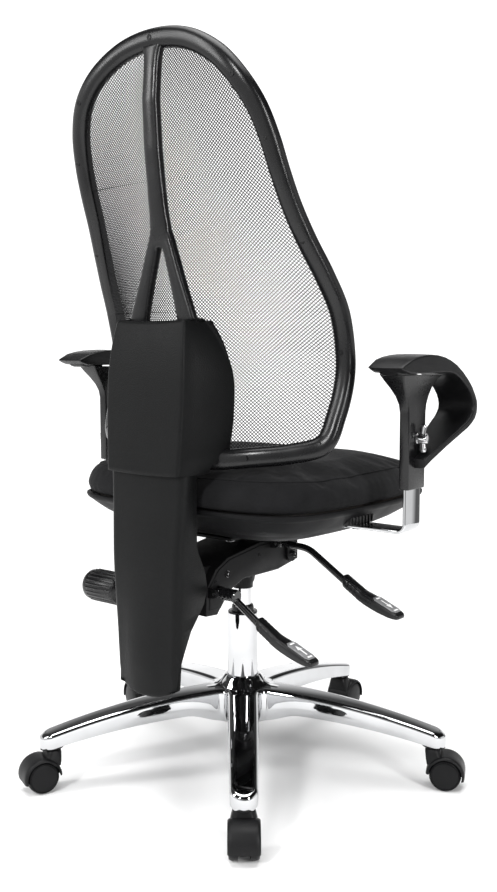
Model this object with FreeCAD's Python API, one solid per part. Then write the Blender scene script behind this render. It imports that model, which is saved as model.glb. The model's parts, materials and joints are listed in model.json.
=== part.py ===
import FreeCAD, Part
import math
import os

from FreeCAD import Vector

# Swivel office chair, millimetres. +Z is up, the chair faces -Y, the origin is on the floor
# on the swivel axis. The sitter's right side is -X.

# --- castors ---
wheel_radius = 25.0
wheel_width = 18.5
wheel_gap = 0.7
castor_trail = 20.0
castor_turns = (0.0, 4.0, 0.0, -7.0, 9.0)
axle_radius = 3.0
web_half = 2.6
hood_clearance = 2.4
hood_wall = 3.0
stem_radius = 5.5
socket_wall = 2.5
socket_flange_radius = 14.0
socket_flange_height = 4.0
boss_radius = 10.5
boss_rise = 9.0
flange_gap = 0.6

# --- five-star base, whose arm tips stand on the castors ---
arm_count = 5
arm_first_angle = 129.5
castor_circle = 316.0
arm_root_depth = 40.0
arm_tip_depth = 24.0
hood_top = 2 * wheel_radius + hood_clearance + hood_wall
arm_tip_low = hood_top + boss_rise + flange_gap + socket_flange_height
arm_tip_top = arm_tip_low + arm_tip_depth
arm_root_top = arm_tip_top + 45.0
arm_root_half_width = 27.0
arm_tip_radius = 20.0
arm_wall = 5.0
arm_bevel = 6.0
arm_start = 18.0
hub_radius = 39.0
hub_height = 60.0
hub_drop = 14.0
collar_height = 10.0
socket_depth = 20.0

# --- gas lift ---
tube_radius = 25.0
tube_wall = 2.5
tube_bottom = 58.0
tube_top = 258.0
guide_lip = 13.0
cylinder_radius = 14.0
cylinder_wall = 1.6
lift_rod_radius = 5.0
lift_up = 90.0
lift_down = 20.0
shaft_clearance = 0.05

# --- tilt mechanism ---
housing_half_width = 50.0
housing_wall = 4.0
housing_bottom = 330.0
cone_bottom = 299.0
cone_radius = cylinder_radius + 3.0
seat_pivot = (-62.0, 352.0)
back_pivot = (100.0, 345.0)
pivot_pin_radius = 5.0
knob_axis = (136.0, 298.0)
knob_radius = 27.0
knob_start = 141.0
knob_length = 76.0
knob_rib_count = 24
spindle_radius = 5.0
spring_wire = 2.5
spring_radius = 15.0
spring_turns = 5
spring_pitch = 9.0

# --- levers, as (x, z) points from the pivot outwards on the sitter's right ---
lever_rod_radius = 5.0
lever_pin_radius = 2.5
lever_ear = 4.0
height_lever_y = -20.0
height_lever_line = ((-62.0, 377.0), (-114.0, 377.0), (-190.0, 333.0))
lock_lever_y = 132.0
lock_lever_line = ((-62.0, 323.0), (-84.0, 323.0), (-142.0, 285.0))
paddle_length = 96.0
paddle_width = 27.0
paddle_droop = 18.5

# --- seat ---
seat_half_width = 240.0
seat_rear = 184.0
seat_front = -272.0
shell_rim_z = 457.0
shell_bottom_z = 402.0
shell_wall = 4.0
board_thickness = 12.0
cushion_top = 517.0
plate_thickness = 4.0
plate_half_width = 62.0
lug_thickness = 4.0

# --- armrests ---
strap_x = 310.0
strap_thickness = 5.0
strap_width = 42.0
strap_centre_y = -9.0
strap_bottom = 423.0
strap_bend = 14.0
sleeve_bottom = 489.0
sleeve_wall = 5.0
sleeve_clearance = 0.4
arm_up = 60.0
arm_down = 40.0
strap_grip = 49.0
strap_top = sleeve_bottom + arm_up + strap_grip
arm_pad_inner = 289.0
arm_pad_width = 62.0
arm_pad_top = 684.0
clamp_z = 563.0
clamp_hub_radius = 7.0
clamp_hub_length = 17.0
clamp_wing_length = 17.0
bracket_inner = seat_half_width - 54.0
bracket_outer = seat_half_width - 14.0
strap_inner_end = bracket_inner - 36.0

# --- back carrier and its cover ---
slide_lean = 3.0
carrier_plate_x = 36.0
carrier_plate_thickness = 6.0
carrier_plate_height = 28.0
bar_y = 214.0
bar_thickness = 6.0
bar_half_width = 27.0
bar_bottom = 300.0
bar_top = 690.0
column_wall = 3.0
column_bottom = 178.0
column_half_top = 76.0
column_half_bottom = 59.0

# --- backrest ---
frame_tube_radius = 13.0
frame_sides = 12
frame_top = 1131.0
frame_half_width = 229.0
frame_bottom = 526.0
mesh_thickness = 1.2
mesh_gap = 5.0
spine_half_width = 15.0
spine_half_depth = 9.0
lumbar_wall = 3.0
lumbar_bottom = 512.0
lumbar_top = 736.0
back_travel = 70.0
column_top = lumbar_bottom + back_travel + 18.0
lumbar_rear = 236.0
cover_foot_y = 181.0
lumbar_half_width = 101.0
panel_thickness = 4.0
panel_bottom = 541.0
frame_screw_radius = 3.5

up = Vector(0, 0, 1)
along_x = Vector(1, 0, 0)
along_y = Vector(0, 1, 0)


def save(name, shape):
    shape.exportStep("parts/" + name + ".step")
    print(name, "valid" if shape.isValid() else "NOT VALID", "solids", len(shape.Solids))


def cylinder(radius, length, start, axis=up):
    return Part.makeCylinder(radius, length, Vector(*start), axis)


def block(low, high):
    size = [b - a for a, b in zip(low, high)]
    return Part.makeBox(size[0], size[1], size[2], Vector(*low))


def polygon(points):
    return Part.makePolygon([Vector(*p) for p in points] + [Vector(*points[0])])


def prism(points, push):
    return Part.Face(polygon(points)).extrude(Vector(*push))


def turned(shape, angle, centre=(0, 0, 0), axis=up):
    copy = shape.copy()
    copy.rotate(Vector(*centre), axis, angle)
    return copy


def moved(shape, x, y, z):
    copy = shape.copy()
    copy.translate(Vector(x, y, z))
    return copy


def mirrored(shape):
    return shape.mirror(Vector(0, 0, 0), along_x)


def fuse(shapes):
    joined = shapes[0].multiFuse(shapes[1:])
    return joined.removeSplitter()


def side_prism(points, x_low, x_high):
    """A prism of (y, z) points between two x values."""
    return prism([(x_low, y, z) for y, z in points], (x_high - x_low, 0, 0))


def closed_curve(points):
    curve = Part.BSplineCurve()
    curve.interpolate([Vector(*p) for p in points], PeriodicFlag=True)
    return Part.Wire([curve.toShape()])


# ---------------------------------------------------------------- base and castors


def arm_angles():
    return [arm_first_angle + i * 360.0 / arm_count for i in range(arm_count)]


def arm_top(radius):
    drop = arm_root_top - arm_tip_top
    return arm_root_top - drop * (radius / castor_circle) ** 2


def arm_depth(radius):
    return arm_root_depth + (arm_tip_depth - arm_root_depth) * radius / castor_circle


def arm_half_width(radius):
    return arm_root_half_width + (arm_tip_radius - arm_root_half_width) * radius / castor_circle


def arm_section(radius, inset, extra_below):
    """Bevelled section across an arm, looking outwards."""
    top = arm_top(radius) - inset
    low = arm_top(radius) - arm_depth(radius) - extra_below
    wide = arm_half_width(radius) - inset
    bevel = arm_bevel - inset / 2
    return polygon([
        (radius, -wide, low), (radius, -wide, top - bevel), (radius, bevel - wide, top),
        (radius, wide - bevel, top), (radius, wide, top - bevel), (radius, wide, low)])


def base_arm():
    stations = [arm_start + i * (castor_circle - arm_start) / 5 for i in range(6)]
    body = Part.makeLoft([arm_section(r, 0, 0) for r in stations], True)
    tip = cylinder(arm_tip_radius, arm_tip_depth - 1.0, (castor_circle, 0, arm_tip_low))
    inner = [hub_radius + 12 + i * (castor_circle - hub_radius - 42) / 4 for i in range(5)]
    pocket = Part.makeLoft([arm_section(r, arm_wall, 6.0) for r in inner], True)
    arm = body.fuse(tip).cut(pocket)
    socket = cylinder(stem_radius + socket_wall, socket_depth, (castor_circle, 0, arm_tip_low))
    return arm.cut(socket)


def star_base():
    arm = base_arm()
    low = arm_root_top - arm_root_depth - hub_drop
    hub = cylinder(hub_radius, hub_height, (0, 0, low))
    collar = Part.makeCone(hub_radius, tube_radius + 4, collar_height,
                           Vector(0, 0, low + hub_height))
    body = fuse([hub, collar] + [turned(arm, a) for a in arm_angles()])
    return body.cut(cylinder(tube_radius, 120, (0, 0, low - 20)))


def castor_sockets():
    flange = cylinder(socket_flange_radius, socket_flange_height,
                      (castor_circle, 0, arm_tip_low - socket_flange_height))
    sleeve = cylinder(stem_radius + socket_wall, socket_depth - 1, (castor_circle, 0, arm_tip_low))
    bore = cylinder(stem_radius + shaft_clearance, 40, (castor_circle, 0, arm_tip_low - 10))
    bush = flange.fuse(sleeve).cut(bore)
    return Part.makeCompound([turned(bush, a) for a in arm_angles()])


def castor_hood():
    """Hood over both wheels, its centre web and its stem boss; axle along Y, stem at x = 0."""
    inner = wheel_radius + hood_clearance
    outer = inner + hood_wall
    half = web_half + wheel_gap + wheel_width
    axle = (castor_trail, 0, wheel_radius)
    shell = cylinder(outer, 2 * half, (axle[0], -half, axle[2]), along_y)
    shell = shell.cut(cylinder(inner, 2 * half, (axle[0], -half, axle[2]), along_y))
    shell = shell.cut(block((-60, -half - 1, -20), (90, half + 1, wheel_radius + 4)))
    web = cylinder(inner + 1, 2 * web_half, (axle[0], -web_half, axle[2]), along_y)
    web = web.cut(block((-60, -half, -20), (90, half, wheel_radius - 12)))
    boss_low = wheel_radius + 13
    boss_top = arm_tip_low - socket_flange_height - flange_gap
    boss = cylinder(boss_radius, boss_top - boss_low, (0, 0, boss_low))
    boss = boss.cut(wheel_space())
    hood = fuse([shell, web, boss])
    hood = hood.cut(cylinder(stem_radius, 60, (0, 0, boss_low + 4)))
    return hood.cut(cylinder(axle_radius, 2 * half, (axle[0], -half, axle[2]), along_y))


def wheel_space():
    """Room that the two wheels turn in."""
    half = web_half + wheel_gap + wheel_width
    centre = (castor_trail, -half, wheel_radius)
    drum = cylinder(wheel_radius + hood_clearance, 2 * half, centre, along_y)
    return drum.cut(block((-60, -web_half, -20), (90, web_half, 80)))


def castor_pins():
    half = web_half + wheel_gap + wheel_width - 2
    low = wheel_radius + 17
    top = arm_tip_low + socket_depth - 2
    stem = cylinder(stem_radius, top - low, (0, 0, low)).cut(wheel_space())
    axle = cylinder(axle_radius, 2 * half, (castor_trail, -half, wheel_radius), along_y)
    return Part.makeCompound([stem, axle])


def castor_wheel(side):
    """One wheel with rounded tread and a shallow dish in its outer face."""
    near = web_half + wheel_gap
    far = near + wheel_width
    curve = 3.0
    profile = [
        (axle_radius + shaft_clearance, near), (wheel_radius - curve, near),
        (wheel_radius, near + curve), (wheel_radius, far - curve - 2),
        (wheel_radius - curve, far), (14.0, far), (12.0, far - 2), (6.5, far - 2),
        (6.0, far - 0.5), (axle_radius + shaft_clearance, far - 0.5)]
    face = Part.Face(polygon([(r, y, 0) for r, y in profile]))
    wheel = face.revolve(Vector(0, 0, 0), along_y, 360)
    if side < 0:
        wheel = wheel.mirror(Vector(0, 0, 0), along_y)
    return moved(wheel, castor_trail, 0, wheel_radius)


def at_castor(shape, index):
    angle = arm_angles()[index]
    placed = turned(shape, angle + castor_turns[index])
    reach = math.radians(angle)
    return moved(placed, castor_circle * math.cos(reach), castor_circle * math.sin(reach), 0)


def make_base():
    save("star_base", star_base())
    save("castor_sockets", castor_sockets())
    hood = castor_hood()
    pins = castor_pins()
    wheels = {"left": castor_wheel(1), "right": castor_wheel(-1)}
    for index in range(arm_count):
        number = str(index + 1)
        save("castor_hood_" + number, at_castor(hood, index))
        save("castor_pins_" + number, at_castor(pins, index))
        for side, wheel in wheels.items():
            save("wheel_" + side + "_" + number, at_castor(wheel, index))


# ---------------------------------------------------------------- gas lift


def gas_tube():
    shell = cylinder(tube_radius, tube_top - tube_bottom, (0, 0, tube_bottom))
    inside = cylinder(tube_radius - tube_wall, 400, (0, 0, tube_bottom + 4))
    foot = cylinder(lift_rod_radius + shaft_clearance, 20, (0, 0, tube_bottom - 5))
    return shell.cut(inside).cut(foot)


def tube_guide():
    inner = cylinder_radius + shaft_clearance
    sleeve = cylinder(tube_radius - tube_wall, 80, (0, 0, tube_top - 80))
    lip = cylinder(tube_radius - 1.5, guide_lip, (0, 0, tube_top))
    return fuse([sleeve, lip]).cut(cylinder(inner, 200, (0, 0, tube_top - 100)))


def cylinder_bottom():
    return tube_bottom + 20 + lift_down + 2


def gas_cylinder():
    low = cylinder_bottom()
    top = cone_bottom + 53
    body = cylinder(cylinder_radius, top - low, (0, 0, low))
    cavity = cylinder(cylinder_radius - cylinder_wall, 190, (0, 0, low + 12))
    neck = cylinder(lift_rod_radius + shaft_clearance, 20, (0, 0, low - 2))
    return body.cut(cavity).cut(neck)


def lift_rod():
    low = tube_bottom - 4
    head = cylinder_bottom() + 12 + lift_up + 3
    rod = cylinder(lift_rod_radius, head - low + 10, (0, 0, low))
    collar = cylinder(11, 5, (0, 0, tube_bottom + 4.4))
    piston = cylinder(cylinder_radius - cylinder_wall - shaft_clearance, 8, (0, 0, head))
    return fuse([rod, collar, piston])


def make_lift():
    save("gas_tube", gas_tube())
    save("tube_guide", tube_guide())
    save("gas_cylinder", gas_cylinder())
    save("lift_rod", lift_rod())


# ---------------------------------------------------------------- tilt mechanism


def housing_profile():
    return [
        (-84, 340), (-84, 378), (-60, 384), (20, 382), (98, 370), (126, 356), (147, 328),
        (149, 287), (122, 285), (96, 316), (58, housing_bottom), (-30, housing_bottom)]


def mech_housing():
    wide = housing_half_width
    body = side_prism(housing_profile(), -wide, wide)
    inner = wide - housing_wall
    room = block((-inner, -84 + housing_wall, housing_bottom + housing_wall), (inner, 62, 400))
    open_rear = block((-inner, 58, 270), (inner, 160, 400))
    body = body.cut(room).cut(open_rear)
    body = body.cut(block((-wide - 1, 112, 270), (0, 160, 308)))
    cone = cylinder(cone_radius, housing_bottom - cone_bottom + 4, (0, 0, cone_bottom))
    tower = cylinder(cone_radius + 4, 24, (0, 0, housing_bottom + 2))
    body = fuse([body, cone, tower])
    body = body.cut(cylinder(cylinder_radius, 60, (0, 0, cone_bottom - 2)))
    for y, z in (seat_pivot, back_pivot):
        body = body.cut(cross_pin(pivot_pin_radius, y, z, 70))
    spindle_hole = cylinder(spindle_radius + shaft_clearance, 20, (wide - 10,) + knob_axis, along_x)
    body = body.cut(spindle_hole)
    for y, line in lever_lines():
        body = body.fuse(lever_ears(y, line))
    return body.removeSplitter()


def cross_pin(radius, y, z, half):
    return cylinder(radius, 2 * half, (-half, y, z), along_x)


def lever_lines():
    return ((height_lever_y, height_lever_line), (lock_lever_y, lock_lever_line))


def lever_ears(y, line):
    """Two ears on the housing's right wall that hold a lever's pin."""
    pivot_x, pivot_z = line[0]
    ears = []
    for side in (-1, 1):
        near = y + side * (lever_rod_radius + 3.4)
        far = near + side * lever_ear
        low, high = sorted((near, far))
        ear = block((pivot_x, low, pivot_z - 7), (-housing_half_width + 1, high, pivot_z + 7))
        nose = cylinder(7, high - low, (pivot_x, low, pivot_z), along_y)
        ears.append(ear.fuse(nose))
    hole = cylinder(lever_pin_radius, 60, (pivot_x, y - 30, pivot_z), along_y)
    return ears[0].fuse(ears[1]).cut(hole)


def mech_pins():
    seat_pin = cross_pin(pivot_pin_radius, seat_pivot[0], seat_pivot[1], 61)
    back_pin = cross_pin(pivot_pin_radius, back_pivot[0], back_pivot[1], 53)
    pins = [seat_pin, back_pin]
    half = lever_rod_radius + 3.4 + lever_ear + 1
    for y, line in lever_lines():
        x, z = line[0]
        pins.append(cylinder(lever_pin_radius, 2 * half, (x, y - half, z), along_y))
    return Part.makeCompound(pins)


def tilt_spring():
    """Compression spring lying in the rear of the housing, along Y."""
    helix = Part.makeHelix(spring_pitch, spring_pitch * spring_turns, spring_radius)
    start = Vector(spring_radius, 0, 0)
    circle = Part.Wire([Part.makeCircle(spring_wire, start, along_y)])
    coil = helix.makePipeShell([circle], True, True)
    coil.rotate(Vector(0, 0, 0), along_x, -90)
    return moved(coil, 0, 26.0, 357.0)


def tension_knob():
    y, z = knob_axis
    grip = cylinder(knob_radius - 1.5, knob_length, (knob_start, y, z), along_x)
    end = [e for e in grip.Edges if abs(e.CenterOfMass.x - knob_start - knob_length) < 0.01]
    grip = grip.makeFillet(9.0, end)
    ribs = []
    for i in range(knob_rib_count):
        angle = 2 * math.pi * i / knob_rib_count
        reach = knob_radius - 2.6
        place = (knob_start + 4, y + reach * math.cos(angle), z + reach * math.sin(angle))
        ribs.append(cylinder(2.2, knob_length - 18, place, along_x))
    grip = fuse([grip] + ribs)
    return grip.cut(cylinder(spindle_radius, 40, (knob_start - 1, y, z), along_x))


def tension_spindle():
    start = housing_half_width - housing_wall - 6
    length = knob_start + 39 - start
    rod = cylinder(spindle_radius, length, (start,) + knob_axis, along_x)
    collar = cylinder(spindle_radius + 4, 5, (housing_half_width + 0.4,) + knob_axis, along_x)
    return rod.fuse(collar)


def lever_rod(y, line):
    """Round rod from a barrel on its pin, bent once, running into its paddle."""
    pivot, bend, end = [Vector(x, y, z) for x, z in line]
    radius = lever_rod_radius
    half = radius + 3.0
    barrel = cylinder(7, 2 * half, (pivot.x, y - half, pivot.z), along_y)
    first = Part.makeCylinder(radius, (bend - pivot).Length, pivot, bend - pivot)
    reach = (end - bend).Length + 26
    second = Part.makeCylinder(radius, reach, bend, end - bend)
    knee = Part.makeSphere(radius, bend)
    rod = fuse([barrel, first, knee, second])
    bore = lever_pin_radius + shaft_clearance
    return rod.cut(cylinder(bore, 40, (pivot.x, y - 20, pivot.z), along_y))


def lever_paddle(y, line):
    """Flat finger paddle that droops less than its rod."""
    end_x, end_z = line[2]
    length = paddle_length
    fall = length * math.tan(math.radians(paddle_droop))
    top = [(6, 11), (-20, -6), (-46, -11), (-length, -fall)]
    bottom = [(-length + 4, -fall - 6), (-0.8 * length, -fall - 7), (-50, -32), (-26, -26), (-2, -9)]
    profile = [(end_x + x, y - paddle_width / 2, end_z + z) for x, z in top + bottom]
    plate = prism(profile, (0, paddle_width, 0))
    return plate.cut(lever_rod(y, line))


def make_mechanism():
    save("mech_housing", mech_housing())
    save("mech_pins", mech_pins())
    save("tilt_spring", tilt_spring())
    save("tension_knob", tension_knob())
    save("tension_spindle", tension_spindle())
    for name, (y, line) in zip(("height", "lock"), lever_lines()):
        save(name + "_lever_rod", lever_rod(y, line))
        save(name + "_lever_paddle", lever_paddle(y, line))


# ---------------------------------------------------------------- seat


def seat_outline(inset, z):
    """Plan outline of the seat, rounder at the front than at the rear."""
    wide = seat_half_width - inset
    rear = seat_rear - inset
    front = seat_front + inset
    deep = rear - front
    half = [(0.52, rear - 1.5), (0.84, rear - 0.062 * deep), (0.965, rear - 0.2 * deep),
            (1.0, rear - 0.45 * deep), (0.975, front + 0.3 * deep), (0.86, front + 0.115 * deep),
            (0.55, front + 0.025 * deep)]
    right = [(-share * wide, y, z) for share, y in half]
    left = [(share * wide, y, z) for share, y in reversed(half)]
    return closed_curve([(0, rear, z)] + right + [(0, front, z)] + left)


def shell_solid(inset):
    rim = shell_rim_z
    low = shell_bottom_z + inset
    sections = [(inset, rim), (10 + inset, rim - 14), (34 + inset, rim - 34), (80 + inset, low)]
    return Part.makeLoft([seat_outline(i, z) for i, z in sections], True)


def seat_shell():
    """Thin cover under the seat, open at its top, cut where the arm brackets hang through."""
    shell = shell_solid(0).cut(shell_solid(shell_wall))
    for bracket in arm_brackets().Solids:
        box = bracket.BoundBox
        shell = shell.cut(block((box.XMin - 0.5, box.YMin - 0.5, box.ZMin - 5),
                                (box.XMax + 0.5, box.YMax + 0.5, box.ZMax)))
    return shell


def seat_board():
    top = shell_rim_z - 1.0
    outline = seat_outline(shell_wall + 14, top - board_thickness)
    return Part.Face(outline).extrude(Vector(0, 0, board_thickness))


def seat_cushion():
    low = shell_rim_z + 0.4
    levels = [(4, low), (-3, low + 12), (0, low + 32), (9, low + 46), (26, low + 53)]
    body = Part.makeLoft([seat_outline(i, z) for i, z in levels], True)
    crown = Part.makeLoft([seat_outline(26, low + 53), seat_outline(90, cushion_top)], True)
    return body.fuse(crown)


def seat_plate():
    """Steel plate under the seat with two lugs down to the front pivot."""
    top = shell_bottom_z - 0.4
    low = top - plate_thickness
    plate = block((-plate_half_width, -130, low), (plate_half_width, 104, top))
    ribs = [block((x - 2, -126, low - 6), (x + 2, -90, low)) for x in (-40, 0, 40)]
    lugs = []
    y, z = seat_pivot
    for side in (-1, 1):
        near = side * (housing_half_width + 1.5)
        start, end = sorted((near, near + side * lug_thickness))
        arm = block((start, y - 13, z), (end, y + 13, low + 1))
        eye = cylinder(13, end - start, (start, y, z), along_x)
        lugs.append(arm.fuse(eye))
    plate = fuse([plate] + ribs + lugs)
    return plate.cut(cross_pin(pivot_pin_radius + shaft_clearance, y, z, 80))


def arm_brackets():
    """Two guide blocks that hang from the seat board and hold the arm straps."""
    half = strap_width / 2 + 10
    low = strap_bottom + strap_thickness
    top = shell_rim_z - 1.0 - board_thickness
    body = block((bracket_inner, strap_centre_y - half, low),
                 (bracket_outer, strap_centre_y + half, top))
    return Part.makeCompound([body, mirrored(body)])


def bolt(radius, head_radius, head, length, place):
    """Bolt pointing up from its head."""
    x, y, z = place
    return cylinder(head_radius, head, (x, y, z - head)).fuse(cylinder(radius, length, (x, y, z)))


def seat_bolts():
    bolts = []
    plate_low = shell_bottom_z - 0.4 - plate_thickness
    reach = shell_rim_z - board_thickness + 6 - plate_low
    for x in (-44, 44):
        for y in (-104, 84):
            bolts.append(bolt(4, 7, 4, reach, (x, y, plate_low)))
    for side in (-1, 1):
        for x in (bracket_inner + 10, bracket_outer - 10):
            place = (side * x, strap_centre_y, strap_bottom)
            bolts.append(bolt(4, 7, 4, strap_thickness + 8, place))
    return Part.makeCompound(bolts)


def make_seat():
    bolts = seat_bolts()
    shell = seat_shell().cut(bolts)
    save("seat_plate", seat_plate().cut(bolts))
    save("seat_shell", shell)
    save("seat_board", seat_board().cut(bolts))
    save("seat_cushion", seat_cushion())
    save("arm_brackets", arm_brackets().cut(bolts))
    save("seat_bolts", bolts)
    strap = arm_strap().cut(bolts)
    save("arm_strap_right", strap)
    save("arm_strap_left", mirrored(strap))


# ---------------------------------------------------------------- armrests (right; left mirrors it)


def arm_strap():
    """Flat steel strap: a leg under the seat, one bend, and an upright."""
    outer = -(strap_x + strap_thickness / 2)
    inner = outer + strap_thickness
    low = strap_bottom
    high = low + strap_thickness
    y = strap_centre_y - strap_width / 2
    profile = [(-strap_inner_end, y, low), (outer, y, low), (outer, y, strap_top),
               (inner, y, strap_top), (inner, y, high), (-strap_inner_end, y, high)]
    strap = prism(profile, (0, strap_width, 0))
    outer_edge = [e for e in strap.Edges if near_line(e, outer, low)]
    strap = strap.makeFillet(strap_bend, outer_edge)
    inner_edge = [e for e in strap.Edges if near_line(e, inner, high)]
    return strap.makeFillet(strap_bend - strap_thickness, inner_edge)


def near_line(edge, x, z):
    """True for an edge that runs along Y at the given x and z."""
    centre = edge.CenterOfMass
    return abs(centre.x - x) < 0.01 and abs(centre.z - z) < 0.01


def sleeve_half():
    return strap_thickness / 2 + sleeve_clearance + sleeve_wall


def sleeve_span():
    half = strap_width / 2 + sleeve_clearance + 3.6
    return strap_centre_y - half, strap_centre_y + half


def arm_sleeve():
    """Upright sleeve round the strap, flaring front and rear into the pad."""
    front, rear = sleeve_span()
    neck = arm_pad_top - 82
    top = arm_pad_top - 22
    profile = [(front, sleeve_bottom), (rear, sleeve_bottom), (rear, neck), (rear + 22, neck + 36),
               (rear + 36, top), (front - 62, top - 8), (front - 34, neck + 34), (front, neck)]
    half = sleeve_half()
    body = side_prism(profile, -strap_x - half, -strap_x + half)
    flare = Part.makeLoft([
        flare_section(neck + 20, half, front - 8, rear + 10),
        flare_section(top - 14, half + 12, front - 40, rear + 30)], True)
    gap = sleeve_clearance
    inside = block((-strap_x - strap_thickness / 2 - gap, strap_centre_y - strap_width / 2 - gap, 400),
                   (-strap_x + strap_thickness / 2 + gap, strap_centre_y + strap_width / 2 + gap,
                    strap_top + arm_down + 4))
    stud = cylinder(3.0, 60, (-strap_x - 60, strap_centre_y, clamp_z), along_x)
    hole = stud.common(block((-400, -100, 500), (-strap_x - 2, 100, 620)))
    return fuse([body, flare]).cut(inside).cut(hole)


def flare_section(z, half, front, rear):
    x_low = -strap_x - half
    x_high = -strap_x + half
    return polygon([(x_low, front, z), (x_high, front, z), (x_high, rear, z), (x_low, rear, z)])


def pad_profile():
    """Side view of the pad and the loop below it, as outer points then inner points."""
    top = arm_pad_top
    outer = [(84, top - 13), (45, top - 3), (6, top), (-30, top - 4), (-66, top - 16),
             (-101, top - 38), (-124, top - 62), (-131, top - 80), (-124, top - 98),
             (-104, top - 112), (0, top - 163)]
    inner = [(0, top - 151), (-98, top - 102), (-114, top - 92), (-120, top - 79),
             (-113, top - 65), (-93, top - 47), (-62, top - 30), (-50, top - 26), (52, top - 26),
             (70, top - 23)]
    return outer, inner


def arm_pad():
    outer, inner = pad_profile()
    inner_x = -arm_pad_inner
    strip = side_prism(outer + inner, inner_x - arm_pad_width, inner_x)
    return strip.cut(arm_sleeve_hull())


def arm_sleeve_hull():
    """The sleeve with its strap slot filled, for cutting its seat in the pad."""
    front, rear = sleeve_span()
    half = sleeve_half()
    slot = block((-strap_x - half + 1, front + 1, sleeve_bottom + 1),
                 (-strap_x + half - 1, rear - 1, strap_top + arm_down + 6))
    return arm_sleeve().fuse(slot)


def clamp_knob():
    """Wing knob on the sleeve's outer face."""
    face = -strap_x - sleeve_half() - 0.4
    start = (face - clamp_hub_length, strap_centre_y, clamp_z)
    hub = cylinder(clamp_hub_radius, clamp_hub_length, start, along_x)
    wings = []
    for side in (-1, 1):
        reach = side * clamp_wing_length
        points = [(0, side * 4), (-4, side * 4), (-9, reach), (-5, reach + side * 4), (0, reach)]
        outline = [(face - 4 + x, strap_centre_y - 2.5, clamp_z + z) for x, z in points]
        wings.append(prism(outline, (0, 5, 0)))
    knob = fuse([hub] + wings)
    return knob.cut(cylinder(3.0, 30, (face - 12, strap_centre_y, clamp_z), along_x))


def clamp_stud():
    face = -strap_x - sleeve_half() - 0.4
    end = -strap_x - strap_thickness / 2 - sleeve_clearance
    start = face - 12
    stud = cylinder(3.0 - shaft_clearance, end - start, (start, strap_centre_y, clamp_z), along_x)
    tight = cylinder(3.0, 12, (start, strap_centre_y, clamp_z), along_x)
    return stud.fuse(tight)


def make_armrests():
    pieces = {"arm_sleeve": arm_sleeve(), "arm_pad": arm_pad(),
              "clamp_knob": clamp_knob(), "clamp_stud": clamp_stud()}
    for name, shape in pieces.items():
        save(name + "_right", shape)
        save(name + "_left", mirrored(shape))


# ---------------------------------------------------------------- back carrier and column


def lean_shift(z):
    """How far the slide line stands forward of bar_y at a height."""
    return -(z - bar_bottom) * math.tan(math.radians(slide_lean))


def carrier_bar():
    half = bar_thickness / 2
    points = [(bar_y + lean_shift(z) + side * half, z)
              for z, side in ((bar_bottom, -1), (bar_bottom, 1), (bar_top, 1), (bar_top, -1))]
    return side_prism(points, -bar_half_width, bar_half_width)


def back_carrier():
    """Two side plates from the pivot to an upright flat bar."""
    y, z = back_pivot
    half = carrier_plate_height / 2
    rear = bar_y + lean_shift(z)
    pieces = [carrier_bar()]
    for side in (-1, 1):
        near = side * carrier_plate_x
        start, end = sorted((near, near - side * carrier_plate_thickness))
        plate = block((start, y, z - half), (end, rear, z + half))
        eye = cylinder(half, end - start, (start, y, z), along_x)
        pieces.append(plate.fuse(eye))
    pieces.append(block((-carrier_plate_x, rear - 8, z - half), (carrier_plate_x, rear, z + half)))
    body = fuse(pieces)
    return body.cut(cross_pin(pivot_pin_radius + shaft_clearance, y, z, 70))


def column_section(z, half, front, rear, inset):
    """Rounded section of the column cover."""
    x = half - inset
    near = front + inset
    far = rear - inset
    bevel = min(11.0, (far - near) / 3)
    return polygon([(-x, near + 2, z), (-x + 2, near, z), (x - 2, near, z), (x, near + 2, z),
                    (x, far - bevel, z), (x - bevel, far - bevel * 0.25, z), (x * 0.45, far, z),
                    (-x * 0.45, far, z), (-x + bevel, far - bevel * 0.25, z), (-x, far - bevel, z)])


def column_half(z):
    share = (z - column_bottom) / (lumbar_bottom - column_bottom)
    return column_half_bottom + (column_half_top - column_half_bottom) * share


def column_levels():
    """(z, half width, front, rear) of the cover, with a nose in front of the carrier plates."""
    levels = [(column_bottom, 221, 236), (222, 219, 240), (278, 196, 239), (312, 170, 238),
              (336, 163, 237), (362, 169, 236), (400, 189, 234), (lumbar_bottom, 195, 228)]
    tall = [(z, column_half(z), front, rear) for z, front, rear in levels]
    narrow = column_half_top - 6
    rise = column_top - lumbar_bottom
    step = rise * math.tan(math.radians(slide_lean))
    tall.append((column_top, narrow, 195 - step, 228 - step))
    return tall


def column_solid(inset):
    levels = column_levels()
    sections = [column_section(z, half, front, rear, inset) for z, half, front, rear in levels]
    return Part.makeLoft(sections, True, True)


def column_covers():
    """Rear and front shells of the column, split on a leaning plane."""
    shell = column_solid(0).cut(column_solid(column_wall))
    y, z = back_pivot
    half = carrier_plate_height / 2 + 4
    mouth = block((-carrier_plate_x - 4, y, z - half), (carrier_plate_x + 4, bar_y - 6, z + half))
    shell = shell.cut(mouth)
    split = side_prism([(226, 100), (226, column_bottom + 30), (212, 400), (206, lumbar_bottom),
                        (200, column_top + 20), (300, column_top + 20), (300, 100)], -200, 200)
    return shell.common(split), shell.cut(split)


def make_column():
    rear, front = column_covers()
    save("back_carrier", back_carrier())
    save("column_cover_rear", rear)
    save("column_cover_front", front)


# ---------------------------------------------------------------- backrest


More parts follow.
